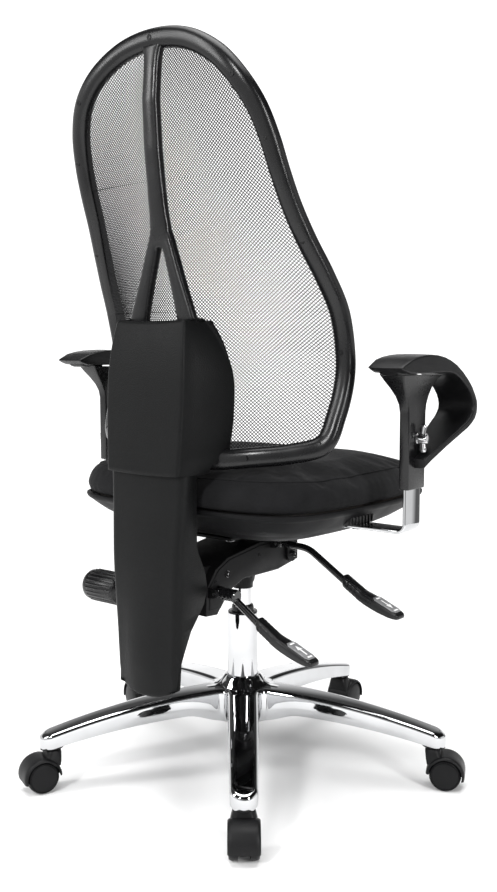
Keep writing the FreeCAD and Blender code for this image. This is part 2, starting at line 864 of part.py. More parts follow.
def frame_half_points():
    """Centre line of the back frame on the sitter's left, from bottom middle to top middle."""
    low = frame_bottom
    top = frame_top
    wide = frame_half_width
    return [(0.30 * wide, 157, low + 2), (0.56 * wide, 137, low + 8), (0.79 * wide, 106, low + 17),
            (0.925 * wide, 80, low + 34), (0.985 * wide, 62, low + 70), (wide, 48, low + 116),
            (wide, 46, low + 160), (0.995 * wide, 60, low + 218), (0.955 * wide, 84, low + 268),
            (0.9 * wide, 109, low + 315), (0.856 * wide, 131, low + 361),
            (0.83 * wide, 151, low + 407), (0.805 * wide, 167, low + 451),
            (0.755 * wide, 182, low + 494), (0.655 * wide, 195, low + 534),
            (0.5 * wide, 199, low + 569), (0.27 * wide, 198, top - 9)]


def frame_curve():
    """Smooth closed centre line of the back frame."""
    half = frame_half_points()
    loop = [(0, 163, frame_bottom)] + half + [(0, 197, frame_top)]
    loop = loop + [(-x, y, z) for x, y, z in reversed(half)]
    path = Part.BSplineCurve()
    path.interpolate([Vector(*p) for p in loop], PeriodicFlag=True)
    return path


def frame_ring(path, place):
    """Many-sided section across the frame at one parameter of its centre line."""
    centre = path.value(place)
    along = path.tangent(place)[0]
    across = along.cross(along_y).normalize()
    out = across.cross(along).normalize()
    corners = []
    for i in range(frame_sides):
        angle = 2 * math.pi * (i + 0.5) / frame_sides
        spoke = across * math.cos(angle) + out * math.sin(angle)
        corners.append(centre + spoke * frame_tube_radius)
    return Part.makePolygon(corners + [corners[0]])


def back_frame():
    """Tube lofted up one side and mirrored, joined at the bottom and top middle."""
    path = frame_curve()
    head = path.parameter(Vector(0, 197, frame_top))
    steps = 26
    rings = [frame_ring(path, head * i / steps) for i in range(steps + 1)]
    tube = Part.makeLoft(rings, True, True)
    return tube.fuse(mirrored(tube))


def frame_side(z):
    """Half width and depth of the frame's centre line at a height."""
    points = frame_half_points()[3:]
    if z < points[0][2]:
        return points[0][0], points[0][1]
    for (x0, y0, z0), (x1, y1, z1) in zip(points, points[1:]):
        if z0 <= z <= z1:
            share = (z - z0) / (z1 - z0)
            return x0 + (x1 - x0) * share, y0 + (y1 - y0) * share
    return points[-1][0], points[-1][1]


def spine_y(z):
    """Depth of the spine's centre line at a height."""
    levels = [(500, 166), (560, 168), (650, 176), (736, 184), (851, 186), (906, 194), (976, 202),
              (1045, 206), (frame_top, 199)]
    for (z0, y0), (z1, y1) in zip(levels, levels[1:]):
        if z0 <= z <= z1:
            return y0 + (y1 - y0) * (z - z0) / (z1 - z0)
    return levels[-1][1]


def mesh_y(x, z):
    """Depth of the net's front at a point: deepest at the spine, forward at the frame."""
    side, edge_y = frame_side(z)
    middle = spine_y(z) - spine_half_depth - mesh_gap
    share = min(1.0, abs(x) / side)
    return middle + (edge_y - middle) * share ** 1.8


def sheet(points_front, thickness):
    """Closed sheet whose rear face is the front face moved back along Y."""
    surface = Part.BSplineSurface()
    surface.interpolate(points_front)
    front = surface.toShape()
    return front.extrude(Vector(0, thickness, 0))


def back_mesh():
    low = frame_bottom + 34
    high = frame_top - 30
    rows = 14
    columns = 13
    grid = []
    for i in range(rows):
        z = low + (high - low) * i / (rows - 1)
        side = frame_side(z)[0] - 4
        xs = [side * (2 * j / (columns - 1) - 1) for j in range(columns)]
        grid.append([Vector(x, mesh_y(x, z), z) for x in xs])
    return sheet(grid, mesh_thickness)


def lumbar_half(z):
    """Half width of the lumbar cover at a height."""
    middle = (lumbar_bottom + lumbar_top) / 2 + 14
    if z > middle:
        share = (z - middle) / (lumbar_top - middle)
        return lumbar_half_width * (1 - 0.25 * share ** 2.4)
    share = (middle - z) / (middle - lumbar_bottom)
    return lumbar_half_width * (1 - 0.16 * share ** 2.4)


def panel_y(x, z):
    """Depth of the lumbar panel's front, just behind the net."""
    return mesh_y(x, z) + mesh_gap + mesh_thickness


def lumbar_panel():
    """Curved plate that closes the lumbar cover's mouth behind the net."""
    rows = 7
    columns = 9
    grid = []
    for i in range(rows):
        z = panel_bottom + (lumbar_top - panel_bottom - 4) * i / (rows - 1)
        half = lumbar_half(z) - lumbar_wall - 1.0
        xs = [half * (2 * j / (columns - 1) - 1) for j in range(columns)]
        grid.append([Vector(x, panel_y(x, z), z) for x in xs])
    return sheet(grid, panel_thickness)


def spine_section(x, z, half_width):
    y = spine_y(z)
    depth = spine_half_depth
    bevel = 4.0
    return polygon([(x - half_width, y - depth, z), (x + half_width, y - depth, z),
                    (x + half_width, y + depth - bevel, z), (x + half_width - bevel, y + depth, z),
                    (x - half_width + bevel, y + depth, z), (x - half_width, y + depth - bevel, z)])


def back_spine():
    """Central rib that forks into two legs above the lumbar cover."""
    fork = 851.0
    wide = spine_half_width
    levels = [(fork - 12, wide + 5), (906, wide + 1), (976, wide), (1045, wide - 1),
              (frame_top - frame_tube_radius + 3, wide - 3)]
    rib = Part.makeLoft([spine_section(0, z, half) for z, half in levels], True, True)
    legs = []
    for side in (-1, 1):
        places = [(lumbar_top - 40, 56, 20), (lumbar_top, 47, 17), (790, 30, 12),
                  (fork + 6, 9, 11)]
        sections = [spine_section(side * x, z, half) for z, x, half in places]
        legs.append(Part.makeLoft(sections, True, True))
    return fuse([rib] + legs)


def cover_section(z, inset, z_shift=0):
    """Section of the lumbar cover: side walls from the net back to a bulging rear."""
    lean = (z - lumbar_bottom) * math.tan(math.radians(slide_lean))
    high = max(0.0, (z - 620.0) / (lumbar_top - 620.0))
    far = lumbar_rear - lean - 14.0 * high * high - inset
    side = lumbar_half(z)
    x = side - inset
    near = panel_y(side, z) + 3.0 if z > panel_bottom else cover_foot_y
    near = near - (1 if inset else 0)
    return polygon([(-x, near, z + z_shift), (x, near, z + z_shift), (x, far - 18, z + z_shift),
                    (x * 0.9, far - 8, z + z_shift), (x * 0.5, far, z + z_shift),
                    (-x * 0.5, far, z + z_shift), (-x * 0.9, far - 8, z + z_shift),
                    (-x, far - 18, z + z_shift)])


def net_room():
    """Everything from just behind the net forwards, round the lumbar cover."""
    rows = 7
    columns = 9
    half = lumbar_half_width + 12
    grid = []
    for i in range(rows):
        z = panel_bottom + (lumbar_top + 12 - panel_bottom) * i / (rows - 1)
        xs = [half * (2 * j / (columns - 1) - 1) for j in range(columns)]
        grid.append([Vector(x, mesh_y(x, z) + mesh_thickness + 1.5, z) for x in xs])
    return sheet(grid, -90.0)


def lumbar_cover():
    """Hollow rear cover round the top of the column, open below and in front."""
    count = 8
    rise = (lumbar_top - lumbar_bottom) / (count - 1)
    levels = [lumbar_bottom + rise * i for i in range(count)]
    shifts = [-2] + [0] * (count - 2) + [-lumbar_wall]
    outer = Part.makeLoft([cover_section(z, 0) for z in levels], True, True)
    inner = [cover_section(z, lumbar_wall, shift) for z, shift in zip(levels, shifts)]
    return outer.cut(Part.makeLoft(inner, True, True))


def frame_screws():
    """Small recessed screws on the frame's rear face."""
    points = frame_half_points()
    places = [points[i] for i in (1, 3, 6, 9, 12, 14)]
    places = places + [(-x, y, z) for x, y, z in places] + [(0, 197, frame_top)]
    screws = []
    for x, y, z in places:
        screws.append(cylinder(frame_screw_radius, 6, (x, y + frame_tube_radius - 5, z), along_y))
    return Part.makeCompound(screws)


def make_backrest():
    screws = frame_screws()
    frame = back_frame()
    save("back_frame", frame.cut(screws))
    save("frame_screws", screws)
    save("back_spine", back_spine().cut(frame))
    save("back_mesh", back_mesh())
    spine = back_spine()
    cover = lumbar_cover().cut(spine).cut(frame).cut(net_room())
    save("lumbar_panel", lumbar_panel().cut(spine).cut(frame).cut(cover))
    save("lumbar_cover", cover)


os.makedirs("parts", exist_ok=True)
make_base()
make_lift()
make_mechanism()
make_seat()
make_armrests()
make_column()
make_backrest()
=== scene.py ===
import json
import math
import bmesh
import bpy
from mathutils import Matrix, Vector
from mathutils.bvhtree import BVHTree


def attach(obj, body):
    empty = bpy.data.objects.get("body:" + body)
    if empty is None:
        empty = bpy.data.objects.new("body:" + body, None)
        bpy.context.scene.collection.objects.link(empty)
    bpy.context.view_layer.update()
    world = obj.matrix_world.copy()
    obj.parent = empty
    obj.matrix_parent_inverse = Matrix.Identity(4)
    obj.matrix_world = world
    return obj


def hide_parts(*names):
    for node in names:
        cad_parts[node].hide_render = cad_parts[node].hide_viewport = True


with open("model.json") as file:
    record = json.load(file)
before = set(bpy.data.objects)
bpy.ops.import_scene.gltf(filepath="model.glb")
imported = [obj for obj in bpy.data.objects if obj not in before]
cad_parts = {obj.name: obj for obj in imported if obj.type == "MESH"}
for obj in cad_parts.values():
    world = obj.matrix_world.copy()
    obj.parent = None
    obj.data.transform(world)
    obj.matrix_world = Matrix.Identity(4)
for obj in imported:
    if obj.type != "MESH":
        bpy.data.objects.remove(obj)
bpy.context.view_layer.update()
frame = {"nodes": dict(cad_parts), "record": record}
mm = 0.001
print("frame loaded")


def addObject(name, data):
    obj = bpy.data.objects.new(name, data)
    bpy.context.scene.collection.objects.link(obj)
    return obj


def addNode(tree, kind, values=None, wires=None, **settings):
    # a node with its settings, its input values and the sockets wired into it
    node = tree.nodes.new(kind)
    for name, value in settings.items():
        setattr(node, name, value)
    for socket, value in (values or {}).items():
        node.inputs[socket].default_value = value
    for socket, source in (wires or {}).items():
        tree.links.new(source, node.inputs[socket])
    return node


# ---- small shape makers: a shape is (points in mm, faces)


def mix(a, b, share):
    return a + (b - a) * share


def ease(value, start, end):
    share = min(1.0, max(0.0, (value - start) / (end - start)))
    return share * share * (3 - 2 * share)


def alongTable(table, key):
    # values of a table's row at a key, read between its rows
    rows = table if table[0][0] < table[-1][0] else table[::-1]
    if key <= rows[0][0]:
        return rows[0][1:]
    for low, high in zip(rows, rows[1:]):
        if key <= high[0]:
            share = (key - low[0]) / (high[0] - low[0])
            return tuple(mix(a, b, share) for a, b in zip(low[1:], high[1:]))
    return rows[-1][1:]


def smoothLine(points, steps, closed=False):
    # Catmull-Rom line through the points
    line = []
    count = len(points)
    spans = count if closed else count - 1
    for i in range(spans):
        p = [points[(i + k) % count] if closed else points[min(count - 1, max(0, i + k))]
             for k in (-1, 0, 1, 2)]
        for j in range(steps):
            t = j / steps
            line.append(tuple(
                0.5 * (2 * b + (c - a) * t + (2 * a - 5 * b + 4 * c - d) * t * t
                       + (3 * b - a - 3 * c + d) * t * t * t)
                for a, b, c, d in zip(*p)))
    if not closed:
        line.append(tuple(points[-1]))
    return line


def joined(*shapes):
    points = []
    faces = []
    for shapePoints, shapeFaces in shapes:
        start = len(points)
        points.extend(shapePoints)
        faces.extend(tuple(start + i for i in face) for face in shapeFaces)
    return points, faces


def mirroredShape(shape):
    points, faces = shape
    return [(-x, y, z) for x, y, z in points], [tuple(reversed(f)) for f in faces]


def turnedShape(shape, angle, shiftX=0.0, shiftY=0.0):
    c = math.cos(angle)
    s = math.sin(angle)
    points, faces = shape
    return [(x * c - y * s + shiftX, x * s + y * c + shiftY, z) for x, y, z in points], faces


def loft(rings, capStart=True, capEnd=True, closedRing=True, closedLoop=False):
    count = len(rings[0])
    points = [p for ring in rings for p in ring]
    faces = []
    for i in range(len(rings) if closedLoop else len(rings) - 1):
        a = i * count
        b = ((i + 1) % len(rings)) * count
        for j in range(count if closedRing else count - 1):
            k = (j + 1) % count
            faces.append((a + j, a + k, b + k, b + j))
    if capStart and not closedLoop:
        faces.append(tuple(reversed(range(count))))
    if capEnd and not closedLoop:
        faces.append(tuple((len(rings) - 1) * count + j for j in range(count)))
    return points, faces


def revolve(profile, centre, axis="z", steps=48, radiusAt=None):
    # profile is (radius, distance along the axis) from one end to the other
    rings = []
    for radius, along in profile:
        ring = []
        for i in range(steps):
            turn = 2 * math.pi * i / steps
            reach = radius * (radiusAt(turn, along) if radiusAt else 1.0)
            a = reach * math.cos(turn)
            b = reach * math.sin(turn)
            offset = {"z": (a, b, along), "x": (along, a, b), "y": (b, along, a)}[axis]
            ring.append(tuple(c + o for c, o in zip(centre, offset)))
        rings.append(ring)
    return loft(rings, profile[0][0] > 0.01, profile[-1][0] > 0.01)


def roundedRect(halfA, halfB, radius, steps=4):
    corners = []
    for signA, signB, start in ((1, 1, 0), (-1, 1, 90), (-1, -1, 180), (1, -1, 270)):
        for i in range(steps + 1):
            turn = math.radians(start + 90 * i / steps)
            corners.append((signA * (halfA - radius) + radius * math.cos(turn),
                            signB * (halfB - radius) + radius * math.sin(turn)))
    return corners


def sweep(path, sectionAt, reference=(0, 1, 0), closed=False):
    # sectionAt(share) gives (sideways, along reference) points
    rings = []
    count = len(path)
    ref = Vector(reference)
    for i in range(count):
        before = Vector(path[i - 1] if closed or i else path[0])
        after = Vector(path[(i + 1) % count] if closed or i < count - 1 else path[-1])
        along = (after - before).normalized()
        across = along.cross(ref).normalized()
        out = across.cross(along).normalized()
        here = Vector(path[i])
        rings.append([tuple(here + across * a + out * b) for a, b in sectionAt(i / (count - 1))])
    return loft(rings, closedLoop=closed)


def boxShape(low, high):
    points = [(x, y, z) for x in (low[0], high[0]) for y in (low[1], high[1]) for z in (low[2], high[2])]
    return points, [(0, 1, 3, 2), (4, 6, 7, 5), (0, 4, 5, 1), (2, 3, 7, 6), (0, 2, 6, 4), (1, 5, 7, 3)]


def prismShape(outline, offset):
    far = [tuple(c + o for c, o in zip(p, offset)) for p in outline]
    return loft([outline, far])


def meshObject(name, shape):
    points, faces = shape
    mesh = bpy.data.meshes.new(name)
    mesh.from_pydata([(x * mm, y * mm, z * mm) for x, y, z in points], [], faces)
    work = bmesh.new()
    work.from_mesh(mesh)
    bmesh.ops.remove_doubles(work, verts=work.verts, dist=0.00001)
    bmesh.ops.dissolve_degenerate(work, edges=work.edges, dist=0.000005)
    bmesh.ops.recalc_face_normals(work, faces=work.faces)
    work.to_mesh(mesh)
    work.free()
    return addObject(name, mesh)


def pointsObject(name, points):
    mesh = bpy.data.meshes.new(name)
    mesh.from_pydata([(x * mm, y * mm, z * mm) for x, y, z in points], [], [])
    return addObject(name, mesh)


def plainMesh(obj):
    # the evaluated result becomes the mesh, and no modifier is left
    graph = bpy.context.evaluated_depsgraph_get()
    made = bpy.data.meshes.new_from_object(obj.evaluated_get(graph))
    obj.modifiers.clear()
    old = obj.data
    obj.data = made
    bpy.data.meshes.remove(old)


def finishPiece(obj, body, slotName, nodes=(), sharp=35, bevel=0.0, smooth=0, material=None):
    if bevel:
        edges = obj.modifiers.new("edges", "BEVEL")
        edges.width = bevel * mm
        edges.segments = 3
        edges.limit_method = "ANGLE"
        edges.angle_limit = math.radians(38)
    if smooth:
        soft = obj.modifiers.new("soft", "SUBSURF")
        soft.levels = smooth
        soft.render_levels = smooth
    if bevel or smooth:
        plainMesh(obj)
    obj.data.shade_smooth()
    obj.data.set_sharp_from_angle(angle=math.radians(sharp))
    obj.data.materials.clear()
    obj.data.materials.append(material or finishes[slotName])
    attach(obj, body)
    if nodes:
        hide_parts(*nodes)
    return obj


def makePiece(name, shape, body, slotName, nodes=(), **look):
    return finishPiece(meshObject(name, shape), body, slotName, nodes, **look)


# ---- camera, lamps and floor

cameraPlace = {"x": -1.1082, "y": 1.3577, "z": 0.714, "lookX": 0.628, "lookY": -0.778,
               "tilt": 5.94, "lens": 43.82}


def makeCamera():
    sizes = cameraPlace
    data = bpy.data.cameras.new("camera")
    data.lens = sizes["lens"]
    data.sensor_width = 36.0
    data.clip_start = 0.05
    camera = addObject("camera", data)
    camera.location = (sizes["x"], sizes["y"], sizes["z"])
    fall = math.radians(sizes["tilt"])
    look = Vector((sizes["lookX"] * math.cos(fall), sizes["lookY"] * math.cos(fall), -math.sin(fall)))
    camera.rotation_euler = look.to_track_quat("-Z", "Y").to_euler()
    bpy.context.scene.camera = camera


# each lamp: place, width, height, power, all aimed at the aim point
lamps = {
    "keyLamp": ((1.9, 2.6, 2.3), 0.7, 1.8, 50.0),
    "sideLamp": ((-2.9, 0.9, 1.5), 0.3, 1.6, 60.0),
    "topLamp": ((0.1, -0.2, 3.4), 3.0, 3.0, 60.0),
    "rearLamp": ((-0.6, 3.4, 2.6), 0.4, 0.7, 80.0),
}
room = {"aim": (0.0, 0.0, 0.6), "floor": 1.5, "floorTone": 0.95, "strength": 1.35, "skyPower": 2.0,
        "skyAngle": 50.0,
        "leftToRight": ((-1.0, 0.80), (-0.55, 0.70), (-0.1, 0.22), (0.5, 0.06),
                        (0.86, 0.06), (0.93, 0.75), (1.0, 0.8)),
        "nearToFar": ((-1.0, 0.12), (0.55, 0.12), (0.85, 1.0), (1.0, 1.0)),
        "lowToHigh": ((-1.0, 1.0), (0.28, 1.0), (0.38, 0.07), (1.0, 0.05))}


def makeWorld():
    # bright behind the chair and to the left, dim to the right and overhead
    world = bpy.data.worlds.new("studio")
    world.use_nodes = True
    tree = world.node_tree
    place = addNode(tree, "ShaderNodeTexCoord").outputs["Generated"]

    def facing(direction, stops):
        dot = addNode(tree, "ShaderNodeVectorMath", {1: direction}, {0: place}, operation="DOT_PRODUCT")
        half = addNode(tree, "ShaderNodeMath", {1: 0.5, 2: 0.5}, {0: dot.outputs["Value"]},
                       operation="MULTIPLY_ADD")
        ramp = addNode(tree, "ShaderNodeValToRGB", wires={"Fac": half.outputs[0]})
        for i, (at, tone) in enumerate(stops):
            stop = ramp.color_ramp.elements[i] if i < 2 else ramp.color_ramp.elements.new(at)
            stop.position = (at + 1) / 2
            stop.color = (tone, tone, tone, 1)
        return ramp.outputs["Color"]

    def combine(how, first, second):
        node = addNode(tree, "ShaderNodeMix", data_type="RGBA", blend_type=how)
        node.inputs["Factor"].default_value = 1.0
        tree.links.new(first, node.inputs["A"])
        tree.links.new(second, node.inputs["B"])
        return node.outputs["Result"]

    around = facing((cameraPlace["lookY"], -cameraPlace["lookX"], 0.0), room["leftToRight"])
    behind = facing((cameraPlace["lookX"], cameraPlace["lookY"], 0.0), room["nearToFar"])
    height = facing((0.0, 0.0, 1.0), room["lowToHigh"])
    back = tree.nodes["Background"]
    tree.links.new(combine("MULTIPLY", combine("LIGHTEN", around, behind), height), back.inputs["Color"])
    back.inputs["Strength"].default_value = room["strength"]
    bpy.context.scene.world = world


def makeRoom():
    for name, (place, width, height, power) in lamps.items():
        data = bpy.data.lights.new(name, "AREA")
        data.shape = "RECTANGLE"
        data.size = width
        data.size_y = height
        data.energy = power
        lamp = addObject(name, data)
        lamp.location = place
        aim = Vector(room["aim"]) - Vector(place)
        lamp.rotation_euler = aim.to_track_quat("-Z", "Y").to_euler()
    sky = bpy.data.lights.new("skyLamp", "SUN")
    sky.energy = room["skyPower"]
    sky.angle = math.radians(room["skyAngle"])
    addObject("skyLamp", sky)
    makeWorld()
    size = room["floor"]
    floor = bpy.data.meshes.new("floor")
    floor.from_pydata([(-size, -size, 0), (size, -size, 0), (size, size, 0), (-size, size, 0)], [],
                      [(0, 1, 2, 3)])
    slab = addObject("floor", floor)
    slab.location.z = -0.0005
    paint = bpy.data.materials.new("paleFloor")
    paint.use_nodes = True
    shader = paint.node_tree.nodes["Principled BSDF"]
    tone = room["floorTone"]
    shader.inputs["Base Color"].default_value = (tone, tone, tone, 1)
    shader.inputs["Roughness"].default_value = 0.85
    shader.inputs["Specular IOR Level"].default_value = 0.2
    floor.materials.append(paint)


makeCamera()
makeRoom()
bpy.context.scene.view_settings.view_transform = "Standard"
print("camera, lamps and floor made")

# ---- finishes

# tone, metal, roughness low and high, cloud size (per metre), grain size, grain depth (mm), coat, gloss
finishSizes = {
    "chrome": ((0.60, 0.605, 0.615), 1.0, 0.02, 0.05, 14.0, 60.0, 0.01, 0.0, 0.5),
    "polished_steel": ((0.62, 0.62, 0.63), 1.0, 0.08, 0.15, 20.0, 400.0, 0.01, 0.0, 0.5),
    "steel": ((0.60, 0.60, 0.61), 1.0, 0.22, 0.36, 60.0, 900.0, 0.02, 0.0, 0.5),
    "black_steel": ((0.006, 0.006, 0.0065), 0.0, 0.36, 0.50, 40.0, 1500.0, 0.05, 0.0, 0.14),
    "black_lever": ((0.005, 0.005, 0.0055), 0.0, 0.12, 0.2, 40.0, 300.0, 0.01, 0.5, 0.4),
    "black_plastic": ((0.0055, 0.0055, 0.006), 0.0, 0.22, 0.32, 25.0, 2200.0, 0.025, 0.0, 0.34),
    "shell_plastic": ((0.004, 0.004, 0.0045), 0.0, 0.50, 0.62, 25.0, 1600.0, 0.04, 0.0, 0.12),
    "grained_plastic": ((0.0050, 0.0052, 0.0054), 0.0, 0.38, 0.50, 18.0, 750.0, 0.22, 0.0, 0.12),
    "castor_plastic": ((0.007, 0.007, 0.0075), 0.0, 0.36, 0.50, 40.0, 1800.0, 0.05, 0.0, 0.16),
    "wheel_plastic": ((0.005, 0.005, 0.0055), 0.0, 0.30, 0.42, 40.0, 1500.0, 0.04, 0.0, 0.16),
    "arm_pad": ((0.006, 0.006, 0.0065), 0.0, 0.32, 0.45, 30.0, 1400.0, 0.08, 0.0, 0.2),
}
finishes = {}
cloudRange = (0.3, 0.7)


def startFinish(name):
    paint = bpy.data.materials.new(name)
    paint.use_nodes = True
    finishes[name] = paint
    tree = paint.node_tree
    return tree, tree.nodes["Principled BSDF"], addNode(tree, "ShaderNodeTexCoord").outputs["Object"]


def noiseNode(tree, place, scale, detail=3.0):
    return addNode(tree, "ShaderNodeTexNoise", {"Scale": scale, "Detail": detail},
                   {"Vector": place}).outputs["Fac"]


def waveNode(tree, place, direction, scale, distortion, detailScale=1.0):
    values = {"Scale": scale, "Distortion": distortion, "Detail Scale": detailScale}
    return addNode(tree, "ShaderNodeTexWave", values, {"Vector": place},
                   bands_direction=direction).outputs["Fac"]


def mathNode(tree, operation, *sources):
    return addNode(tree, "ShaderNodeMath", wires=dict(enumerate(sources)), operation=operation).outputs[0]


def setTone(tree, shader, value, low, high):
    ramp = addNode(tree, "ShaderNodeValToRGB", wires={"Fac": value})
    for stop, position, tone in zip(ramp.color_ramp.elements, cloudRange, (low, high)):
        stop.position = position
        stop.color = (*tone, 1)
    tree.links.new(ramp.outputs["Color"], shader.inputs["Base Color"])


def setRoughness(tree, shader, value, low, high):
    values = {"From Min": cloudRange[0], "From Max": cloudRange[1], "To Min": low, "To Max": high}
    spread = addNode(tree, "ShaderNodeMapRange", values, {"Value": value})
    tree.links.new(spread.outputs["Result"], shader.inputs["Roughness"])


def setBump(tree, shader, height, depth):
    bump = addNode(tree, "ShaderNodeBump", {"Strength": 1.0, "Distance": depth * mm}, {"Height": height})
    tree.links.new(bump.outputs["Normal"], shader.inputs["Normal"])


def hardFinish(name):
    tone, metal, smoothLow, smoothHigh, cloudSize, grainSize, grainDepth, coat, gloss = finishSizes[name]
    tree, shader, place = startFinish(name)
    cloud = noiseNode(tree, place, cloudSize)
    setTone(tree, shader, cloud, tuple(c * 0.86 for c in tone), tone)
    setRoughness(tree, shader, cloud, smoothLow, smoothHigh)
    shader.inputs["Metallic"].default_value = metal
    shader.inputs["Coat Weight"].default_value = coat
    shader.inputs["Specular IOR Level"].default_value = gloss
    grain = noiseNode(tree, place, grainSize, 2.0)
    if name == "grained_plastic":
        cells = addNode(tree, "ShaderNodeTexVoronoi", {"Scale": grainSize * 0.7}, {"Vector": place})
        grain = mathNode(tree, "ADD", grain, cells.outputs["Distance"])
    setBump(tree, shader, grain, grainDepth)


def weaveFinish(name, tone, pitch, depth):
    # plain weave: three families of threads on object coordinates, so every side shows two
    tree, shader, place = startFinish(name)
    bands = [waveNode(tree, place, direction, 314.0 / pitch / 10.0, 0.6, 2.0) for direction in ("X",
                                                                                                "Y", "Z")]
    threads = mathNode(tree, "ADD", mathNode(tree, "MULTIPLY", bands[0], bands[1]), bands[2])
    fluff = noiseNode(tree, place, 900.0)
    setTone(tree, shader, noiseNode(tree, place, 30.0), tone, tuple(c * 1.5 for c in tone))
    setRoughness(tree, shader, fluff, 0.75, 0.95)
    shader.inputs["Specular IOR Level"].default_value = 0.12
    shader.inputs["Sheen Weight"].default_value = 0.04
    shader.inputs["Sheen Roughness"].default_value = 0.5
    setBump(tree, shader, mathNode(tree, "ADD", threads, fluff), depth)


def plywoodFinish():
    tree, shader, place = startFinish("plywood")
    layers = waveNode(tree, place, "Z", 60.0, 1.5)
    # painted shade: the board is painted nearly black, far darker than plywood, so the gap between
    # cushion and shell reads as a dark shaded seam and not as a brown line; the wave bands are the wood's
    # layers
    setTone(tree, shader, layers, (0.010, 0.007, 0.005), (0.02, 0.014, 0.01))
    setRoughness(tree, shader, noiseNode(tree, place, 50.0), 0.55, 0.75)
    setBump(tree, shader, layers, 0.1)


def printFinish(name, cloudSize, low, high, smoothLow, smoothHigh):
    tree, shader, place = startFinish(name)
    cloud = noiseNode(tree, place, cloudSize)
    setTone(tree, shader, cloud, low, high)
    setRoughness(tree, shader, cloud, smoothLow, smoothHigh)


for finishName in finishSizes:
    hardFinish(finishName)
weaveFinish("seat_fabric", (0.0045, 0.0045, 0.005), 1.6, 0.25)
weaveFinish("net", (0.005, 0.005, 0.0055), 0.8, 0.08)
plywoodFinish()
printFinish("markPrint", 400.0, (0.85, 0.85, 0.85), (0.92, 0.92, 0.92), 0.4, 0.55)
printFinish("greyPlate", 120.0, (0.16, 0.16, 0.165), (0.24, 0.24, 0.245), 0.3, 0.45)
print("finishes made")

# ---- star base

base = {"arms": 5, "firstAngle": 129.5, "circle": 316.0, "rootTop": 138.0, "tipTop": 93.0,
        "rootDepth": 40.0, "tipDepth": 24.0, "rootHalf": 27.0, "tipHalf": 20.0, "wall": 5.0,
        "bevel": 7.0, "webRadius": 12.0, "collar": 16.0, "tubeGap": 25.3, "hubDrop": 14.0}


def baseTop(reach):
    drop = (base["rootTop"] - base["tipTop"]) * (reach / base["circle"]) ** 2
    rise = base["collar"] * (1 - min(1.0, max(0.0, (reach - 30.0) / 10.0)))
    return base["rootTop"] - drop + rise


def baseLow(reach):
    depth = mix(base["rootDepth"], base["tipDepth"], reach / base["circle"])
    depth += base["hubDrop"] * (1 - ease(reach, 48.0, 105.0))
    drop = (base["rootTop"] - base["tipTop"]) * (reach / base["circle"]) ** 2
    return base["rootTop"] - drop - depth


def armStations():
    # (side point, core point, pocket share) from the tip to the web between two arms
    circle = base["circle"]
    tip = base["tipHalf"]
    found = []
    for i in range(9):
        turn = math.radians(90 - 90 * i / 8)
        side = (circle + tip * math.sin(turn), tip * math.cos(turn))
        found.append((side, (circle, 0.0), 0.0))
    for i in range(1, 27):
        u = mix(circle, 62.0, i / 26)
        half = mix(base["rootHalf"], tip, u / circle)
        found.append(((u, half), (u, 0.0), ease(u, 60, 90) * (1 - ease(u, 275, 292))))
    half = mix(base["rootHalf"], tip, 55.0 / circle)
    fold = math.pi / base["arms"]
    web = base["webRadius"]
    reach = (half + web) / math.sin(fold)
    middle = (reach * math.cos(fold), reach * math.sin(fold))
    for u, core in ((58.0, 48.0), (54.5, 36.0)):
        found.append(((u, half), (core, 0.0), 0.0))
    steps = 9
    for i in range(steps + 1):
        turn = math.radians(-90) - (math.pi / 2 - fold) * i / steps
        side = (middle[0] + web * math.cos(turn), middle[1] + web * math.sin(turn))
        angle = fold * i / steps
        gap = base["tubeGap"]
        found.append((side, (gap * math.cos(angle), gap * math.sin(angle)), 0.0))
    return found


def armRow(side, core, pocket):
    length = math.dist(side, core)
    inward = ((core[0] - side[0]) / length, (core[1] - side[1]) / length)
    bevel = min(base["bevel"], length * 0.45)

    def at(inset):
        return side[0] + inward[0] * inset, side[1] + inward[1] * inset

    row = []
    for share in (1.0, 0.92, 0.85, 0.78, 0.7, 0.6, 0.45, 0.3, 0.16):
        if length * share > bevel:
            u, v = at(length * share)
        else:
            u, v = at(mix(bevel, length, share))
        row.append((u, v, baseTop(math.hypot(u, v))))
    for i in range(6):
        turn = math.pi / 2 * i / 5
        u, v = at(bevel * (1 - math.sin(turn)))
        row.append((u, v, baseTop(math.hypot(u, v)) - bevel * (1 - math.cos(turn)) * 0.9))
    u, v = at(0.0)
    reach = math.hypot(u, v)
    top = baseTop(reach) - bevel
    low = baseLow(reach)
    row.append((u, v, mix(top, low, 0.5)))
    row.append((u, v, low + 2.0))
    u, v = at(1.2)
    row.append((u, v, low))
    u, v = at(base["wall"] - 1.0)
    row.append((u, v, low))
    deep = max(0.0, baseTop(reach) - base["wall"] - 3 - low) * pocket
    u, v = at(base["wall"])
    row.append((u, v, low + deep * 0.9))
    u, v = at(base["wall"] + 3.0)
    row.append((u, v, low + deep))
    u, v = at(length)
    row.append((u, v, (baseLow(reach) + deep)))
    return row


